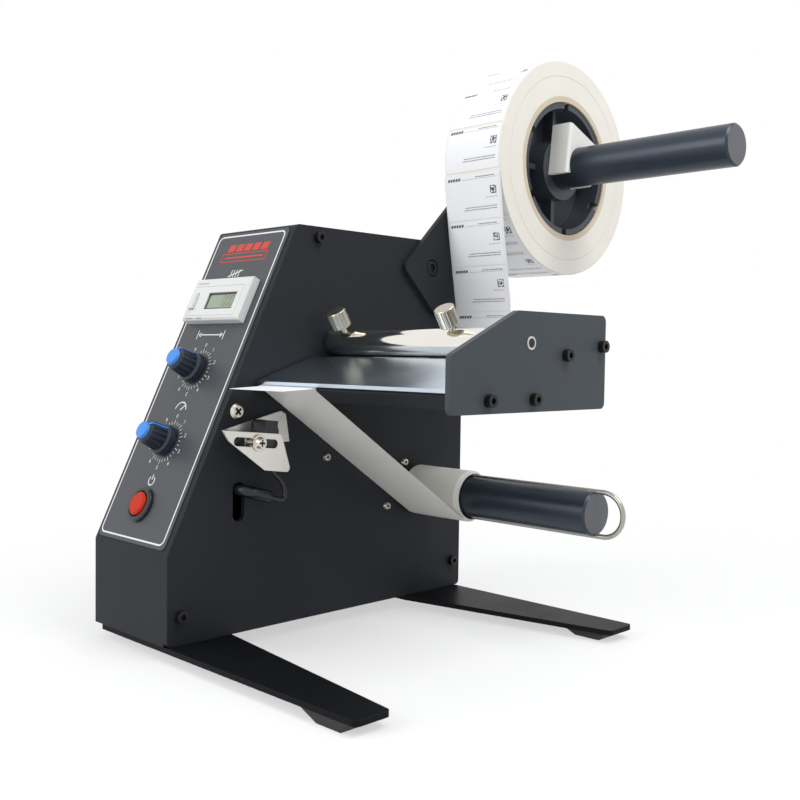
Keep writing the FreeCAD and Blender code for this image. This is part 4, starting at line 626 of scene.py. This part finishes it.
# Panel print: white screen print on the overlay, flat and hard-edged. A border line runs round it, a
# scale stands round each knob, and plain pictograms stand for counting, length, speed and power
SLOPE_RISE, SLOPE_DEPTH, SLOPE_FOOT = 157.4, 74.2, 42.2
SLANT = math.atan2(SLOPE_RISE, SLOPE_DEPTH)
PRINT_LIFT = 0.53
BORDER_LEFT, BORDER_RIGHT, BORDER_LOW, BORDER_HIGH = -61.8, -6.2, 4.0, 170.4
BORDER_ROUND, BORDER_WIDE = 3.0, 0.8
KNOB_X = -35.6
KNOB_UP = {"length": 92.7, "speed": 53.6}
TICKS, TICK_IN, LONG_TICK, SHORT_TICK, TICK_WIDE = 30, (9.2, 9.3), 11.6, 10.8, 0.3
FINE_LINE = 0.6


def panel(x, s, out):
    """Point on the slanted panel: across, up the slope and out from its sheet, in millimetres."""
    return machine(x, s * math.cos(SLANT) - out * math.sin(SLANT),
                   SLOPE_FOOT + s * math.sin(SLANT) + out * math.cos(SLANT))


class Print:
    """Collects flat printed shapes at one height over the panel's sheet."""

    def __init__(self, lift=PRINT_LIFT):
        self.points, self.faces, self.lift = [], [], lift

    def shape(self, corners):
        begin = len(self.points)
        self.points += [panel(x, s, self.lift) for x, s in corners]
        self.faces.append(tuple(range(begin, begin + len(corners))))

    def stroke(self, x1, s1, x2, s2, width):
        run = Vector((x2 - x1, s2 - s1)).normalized() * width / 2
        side = Vector((-run.y, run.x))
        self.shape([(x1 + side.x, s1 + side.y), (x1 - side.x, s1 - side.y),
                    (x2 - side.x, s2 - side.y), (x2 + side.x, s2 + side.y)])

    def strokes(self, lines, width):
        for line in lines:
            self.stroke(*line, width)

    def arc(self, x, s, radius, start, end, width, steps=16):
        for k in range(steps):
            a, b = (math.radians(start + (end - start) * j / steps) for j in (k, k + 1))
            low, high = radius - width / 2, radius + width / 2
            self.shape([(x + low * math.cos(a), s + low * math.sin(a)),
                        (x + high * math.cos(a), s + high * math.sin(a)),
                        (x + high * math.cos(b), s + high * math.sin(b)),
                        (x + low * math.cos(b), s + low * math.sin(b))])


white = surface("print_white", (0.8, 0.8, 0.8), 0.5, grain=900, depth=0.05)
lines = Print()
in_left, in_right = BORDER_LEFT + BORDER_ROUND, BORDER_RIGHT - BORDER_ROUND
in_low, in_high = BORDER_LOW + BORDER_ROUND, BORDER_HIGH - BORDER_ROUND
lines.strokes([(BORDER_LEFT, in_low, BORDER_LEFT, in_high), (BORDER_RIGHT, in_low, BORDER_RIGHT, in_high),
               (in_left, BORDER_LOW, in_right, BORDER_LOW), (in_left, BORDER_HIGH, in_right, BORDER_HIGH)],
              BORDER_WIDE)
for x, s, start in ((in_right, in_high, 0), (in_left, in_high, 90), (in_left, in_low, 180),
                    (in_right, in_low, 270)):
    lines.arc(x, s, BORDER_ROUND, start, start + 90, BORDER_WIDE, 8)
for knob_s in KNOB_UP.values():
    for k in range(TICKS):
        angle = math.radians(90 - 360 / TICKS * k)
        low, high = (TICK_IN[0], LONG_TICK) if k % 3 == 0 else (TICK_IN[1], SHORT_TICK)
        lines.stroke(KNOB_X + low * math.cos(angle), knob_s + low * math.sin(angle),
                     KNOB_X + high * math.cos(angle), knob_s + high * math.sin(angle), TICK_WIDE)

# Length sign: a double arrow between two bars
LENGTH_SIGN_UP = 112.2
lines.stroke(-45, LENGTH_SIGN_UP, -25.5, LENGTH_SIGN_UP, FINE_LINE)
for end, way in ((-46, 1), (-24.8, -1)):
    tail = end + 2.4 * way
    stop = end - 0.6 * way
    lines.shape([(end, LENGTH_SIGN_UP), (tail, LENGTH_SIGN_UP + 1.4), (tail, LENGTH_SIGN_UP - 1.4)])
    lines.stroke(stop, LENGTH_SIGN_UP - 2.4, stop, LENGTH_SIGN_UP + 2.4, FINE_LINE)

# Speed sign: a gauge's arc with its needle
lines.arc(KNOB_X, 70.2, 4.6, 10, 170, FINE_LINE)
lines.stroke(KNOB_X, 70.6, KNOB_X + 2.9, 73.3, FINE_LINE)

# Power sign: an open ring with a stroke
lines.arc(KNOB_X, 33.2, 2.4, -230, 50, FINE_LINE)
lines.stroke(KNOB_X, 33.6, KNOB_X, 36.4, FINE_LINE)

# Counting sign: four tally strokes with a fifth across them
lines.strokes([(-39 + 2.2 * k, 145.4, -39 + 2.2 * k, 149.6) for k in range(4)], FINE_LINE)
lines.stroke(-41, 145.8, -30, 149.2, FINE_LINE)
mesh_piece("panel_lines", lines.points, lines.faces, white, "machine")

# Title sign: red screen print at the head of the overlay, on the same film as the white print.
# A row of slanting labels stands over the outline of one label with a line of print
TITLE_LABELS, TITLE_STEP, TITLE_LINE = 5, 7.1, 0.45
red = surface("print_red", (0.6, 0.04, 0.02), 0.5, grain=900, depth=0.05)
title = Print()
for k in range(TITLE_LABELS):
    left = -50.4 + TITLE_STEP * k
    title.shape([(left, 160.8), (left + 5.4, 160.8), (left + 6.4, 165), (left + 1, 165)])
title.strokes([(-53.2, 154.9, -15.2, 154.9), (-53.2, 159.6, -15.2, 159.6), (-53.2, 154.7, -53.2, 159.8),
               (-15.2, 154.7, -15.2, 159.8)], TITLE_LINE)
title.stroke(-50.5, 157.2, -18, 157.2, 0.9)
mesh_piece("panel_title", title.points, title.faces, red, "machine")

# Counter face: grey lines printed on the case, one round the window and the key and two rows of
# small blocks, 5 mm proud of the overlay. The window has a dark frame, wider at the left and top with
# painted shade of the window's recess, and three dark digits
FACE_LIFT, WINDOW_LIFT = 5.53, 4.93
score = Print(FACE_LIFT)
score.strokes([(-57, 137.6, -15.5, 137.6), (-57, 120.8, -15.5, 120.8), (-15.5, 120.8, -15.5, 137.6)], 0.2)
for left, s, blocks in ((-56.2, 139.4, 10), (-56.2, 119.3, 7), (-46.6, 119.3, 5)):
    for k in range(blocks):
        score.stroke(left + 0.95 * k, s, left + 0.95 * k + 0.65, s, 0.8)
mesh_piece("counter_marks", score.points, score.faces,
           surface("score_grey", (0.36, 0.36, 0.35), 0.6, grain=900, depth=0.05),
           "machine")
window = Print(WINDOW_LIFT)
# Frame strokes: the wide top and left ones carry painted shade of the window's recess
for x1, s1, x2, s2, width in ((-43.2, 133.2, -19.2, 133.2, 1.2), (-43.2, 124.9, -19.2, 124.9, 0.7),
                              (-42.4, 124.6, -42.4, 133.8, 1.5), (-19.6, 124.6, -19.6, 133.8, 0.7)):
    window.stroke(x1, s1, x2, s2, width)
for k in range(3):
    left = -29.4 + 3.1 * k
    window.strokes([(left + x1, s1, left + x2, s2) for x1, s1, x2, s2 in (
        (0, 126.6, 0, 128.9), (0, 129.3, 0, 131.6), (2, 126.6, 2, 128.9), (2, 129.3, 2, 131.6),
        (0.2, 126.4, 1.8, 126.4), (0.2, 131.8, 1.8, 131.8))], 0.28)
mesh_piece("window_marks", window.points, window.faces,
           surface("window_frame_shade_and_digits", (0.03, 0.035, 0.03), 0.4, grain=900, depth=0.05), "machine")

# Dial numbers: plain white figures 0 to 9 round each knob, in the same screen print as the scale,
# outside its ticks and upright along the slope
NUMBER_HIGH, NUMBER_RING = 2.9, 13.6
number_points, number_faces = [], []
for knob_s in KNOB_UP.values():
    for k in range(10):
        curve = bpy.data.curves.new("digit", "FONT")
        curve.body = str(k)
        curve.size = NUMBER_HIGH
        curve.align_x = "CENTER"
        curve.align_y = "CENTER"
        curve.resolution_u = 3
        writer = bpy.data.objects.new("digit", curve)
        bpy.context.scene.collection.objects.link(writer)
        bpy.context.view_layer.update()
        glyph = bpy.data.meshes.new_from_object(writer.evaluated_get(bpy.context.evaluated_depsgraph_get()))
        bpy.data.objects.remove(writer)
        angle = math.radians(90 - 36 * k)
        begin = len(number_points)
        number_points += [panel(KNOB_X + NUMBER_RING * math.cos(angle) + v.co.x,
                                knob_s + NUMBER_RING * math.sin(angle) + v.co.y, PRINT_LIFT)
                          for v in glyph.vertices]
        number_faces += [tuple(begin + v for v in face.vertices) for face in glyph.polygons]
mesh_piece("dial_numbers", number_points, number_faces, white, "machine")

# Knob pointers: a blue rib down the side of each knob, moulded in one with its blue cap,
# tapering with the knob and turning with it
POINTER_HEADING = {"length": 80, "speed": 52}
RIB_HALF = 0.5
RIB_RINGS = ((5.6, 6.95, 5.3), (4.7, 6.0, 13.9), (3.6, 4.75, 15.2))
for word, knob_s in KNOB_UP.items():
    angle = math.radians(POINTER_HEADING[word])
    points = []
    for inner, outer, out in RIB_RINGS:
        for radius in (inner, outer):
            for side in (-RIB_HALF, RIB_HALF):
                points.append(panel(KNOB_X + radius * math.cos(angle) - side * math.sin(angle),
                                    knob_s + radius * math.sin(angle) + side * math.cos(angle), out))
    faces = [(0, 1, 3, 2), (8, 10, 11, 9)]
    for low in (0, 4):
        faces += [(low, low + 2, low + 6, low + 4), (low + 1, low + 5, low + 7, low + 3),
                  (low + 2, low + 3, low + 7, low + 6), (low, low + 4, low + 5, low + 1)]
    smooth(mesh_piece(word + "_pointer", points, faces, blue, word + "_dial"))

# Screw recesses: painted shade, as dark crosses in the cross-head screws and a dark disc in the axle's end.
# They stand for the shaded bottoms of recesses pressed into nickel-plated heads, and lie a hair over each
# head's face
SCREW_FACE, EDGE_SCREW_FACE, SENSOR_SCREW_FACE, BORE_LIFT = 0.3, 0.32, 14.45, 0.06
MOTOR_Y, MOTOR_Z, SCREW_CIRCLE = 152.3, 60, 15.5
BOARD_SCREW_Y, BOARD_SCREW_Z = (94.8, 116.8), 81.7
CROSS_LONG, CROSS_WIDE = 0.54, 0.14
# Painted shade: one flat dark colour standing for the shade inside the recesses
shade_paint = surface("recess_painted_shade", (0.01, 0.01, 0.01), 0.7, grain=900, depth=0.1)


def set_recesses(name, form_mesh, spots, head_radius, lean, body):
    """Copies of a flat form of unit size, scaled to the head, turned by its lean and set at the spots."""
    tree, enter, leave, (radius_socket, lean_socket) = rule_tree(
        name, ("Head Radius", "NodeSocketFloat"), ("Lean", "NodeSocketFloat"))
    nodes, links = tree.nodes, tree.links
    form = bpy.data.objects.new(name + "_form", form_mesh)
    bpy.context.scene.collection.objects.link(form)
    look = nodes.new("GeometryNodeObjectInfo")
    look.inputs["Object"].default_value = form
    turned = nodes.new("ShaderNodeCombineXYZ")
    stand = nodes.new("GeometryNodeInstanceOnPoints")
    links.new(enter.outputs["Geometry"], stand.inputs["Points"])
    links.new(enter.outputs["Head Radius"], stand.inputs["Scale"])
    links.new(enter.outputs["Lean"], turned.inputs["X"])
    links.new(turned.outputs["Vector"], stand.inputs["Rotation"])
    links.new(look.outputs["Geometry"], stand.inputs["Instance"])
    finish_rule(tree, stand.outputs["Instances"], leave, shade_paint)
    sizes = [(radius_socket, head_radius / 1000), (lean_socket, math.radians(lean))]
    piece = made_plain(name, sheet_of(name + "_spots", spots, []), tree, sizes, shade_paint)
    bpy.data.objects.remove(form)
    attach(piece, body)


def unit_cross(name):
    """Flat cross that faces +X, for a head with a radius of 1."""
    points, faces = [], []
    for run in (Vector((0, 1, 0)), Vector((0, 0, 1))):
        side = Vector((0, -run.z, run.y))
        begin = len(points)
        points += [run * a * CROSS_LONG + side * b * CROSS_WIDE
                   for a, b in ((-1, -1), (1, -1), (1, 1), (-1, 1))]
        faces.append(tuple(range(begin, begin + 4)))
    return sheet_of(name, points, faces)


def unit_disc(name, corners=32):
    """Flat disc that faces +X, with a radius of 1."""
    turns = [2 * math.pi * k / corners for k in range(corners)]
    return sheet_of(name, [(0, math.cos(turn), math.sin(turn)) for turn in turns], [tuple(range(corners))])


drive_spots = [machine(SCREW_FACE, MOTOR_Y + SCREW_CIRCLE * math.cos(math.radians(angle)),
                       MOTOR_Z + SCREW_CIRCLE * math.sin(math.radians(angle))) for angle in (90, 150, 210)]
drive_spots += [machine(SCREW_FACE, y, BOARD_SCREW_Z) for y in BOARD_SCREW_Y]
axle_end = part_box("press_bar_axle")[1][0] * 1000 + SIDE_FACE_X
set_recesses("drive_recess", unit_cross("drive_cross"), drive_spots, 2.4, 0, "machine")
set_recesses("axle_recess", unit_disc("axle_disc"), [machine(axle_end + BORE_LIFT, 99.3, 140.8)], 2.05, 0,
             "machine")
set_recesses("edge_recess", unit_cross("edge_cross"), [machine(EDGE_SCREW_FACE, 38, 107.01)], 3.9, 40,
             "machine")
set_recesses("sensor_recess", unit_cross("sensor_cross"), [machine(SENSOR_SCREW_FACE, 41.3, 92.7)],
             2.9, -5.8, "sensor")

# Floor: a pale matt table top that takes a soft shadow. It is thinner than full strength under the
# machine and fades out round it, so that the white room shows beyond
FLOOR_HALF, FADE_FROM, FADE_TO, FLOOR_STRENGTH = 3, 0.16, 0.42, 0.45
floor_corners = [(-FLOOR_HALF, -FLOOR_HALF, 0), (FLOOR_HALF, -FLOOR_HALF, 0), (FLOOR_HALF, FLOOR_HALF, 0),
                 (-FLOOR_HALF, FLOOR_HALF, 0)]
floor = bpy.data.objects.new("floor", sheet_of("floor", floor_corners, [(0, 1, 2, 3)]))
bpy.context.scene.collection.objects.link(floor)
ground = surface("floor_white", (0.93, 0.93, 0.93), 0.8, grain=50, depth=0.02, mottle=0.01)
ground_nodes, ground_links = ground.node_tree.nodes, ground.node_tree.links
away = ground_nodes.new("ShaderNodeVectorMath")
away.operation = "LENGTH"
ground_links.new(ground_nodes["Texture Coordinate"].outputs["Object"], away.inputs[0])
fade = ground_nodes.new("ShaderNodeMapRange")
fade.interpolation_type = "SMOOTHSTEP"
fade.inputs["From Min"].default_value = FADE_FROM
fade.inputs["From Max"].default_value = FADE_TO
fade.inputs["To Min"].default_value = FLOOR_STRENGTH
fade.inputs["To Max"].default_value = 0
ground_links.new(away.outputs["Value"], fade.inputs["Value"])
ground_links.new(fade.outputs["Result"], ground_nodes["Principled BSDF"].inputs["Alpha"])
floor.data.materials.append(ground)
floor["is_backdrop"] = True

# Light: a room that is seen and reflected as plain white but lights a little less, and three soft
# lamps: a large one in front, a weak one at the right for the shafts and one overhead
ROOM_COLOUR, ROOM_LIGHT = (0.92, 0.94, 0.97, 1), 0.7
LAMPS = (("lamp_front_left", (-0.45, -1.5, 0.75), (0, 0, 0.15), 11, 0.9),
         ("lamp_right", (0.5, 0.05, 0.85), (0.03, 0.02, 0.2), 3.4, 0.4),
         ("lamp_top", (0.1, 0.2, 1.7), (0, 0, 0.1), 3.5, 1.2))
world = bpy.data.worlds.new("room")
bpy.context.scene.world = world
world.use_nodes = True
sky = world.node_tree
room = sky.nodes["Background"]
room.inputs["Color"].default_value = ROOM_COLOUR
room.inputs["Strength"].default_value = ROOM_LIGHT
backdrop = sky.nodes.new("ShaderNodeBackground")
backdrop.inputs["Color"].default_value = (1, 1, 1, 1)
path = sky.nodes.new("ShaderNodeLightPath")
choose = sky.nodes.new("ShaderNodeMixShader")
seen = path.outputs["Is Camera Ray"]
for kind in ("Is Glossy Ray", "Is Transmission Ray"):
    either = sky.nodes.new("ShaderNodeMath")
    either.operation = "MAXIMUM"
    sky.links.new(seen, either.inputs[0])
    sky.links.new(path.outputs[kind], either.inputs[1])
    seen = either.outputs["Value"]
sky.links.new(seen, choose.inputs["Fac"])
sky.links.new(room.outputs["Background"], choose.inputs[1])
sky.links.new(backdrop.outputs["Background"], choose.inputs[2])
sky.links.new(choose.outputs["Shader"], sky.nodes["World Output"].inputs["Surface"])
for name, place, aim, power, wide in LAMPS:
    lamp_data = bpy.data.lights.new(name, "AREA")
    lamp_data.energy = power
    lamp_data.size = wide
    lamp = bpy.data.objects.new(name, lamp_data)
    lamp.location = place
    lamp.rotation_euler = (Vector(aim) - Vector(place)).to_track_quat("-Z", "Y").to_euler()
    bpy.context.scene.collection.objects.link(lamp)
bpy.context.scene.view_settings.view_transform = "Standard"

low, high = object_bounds()
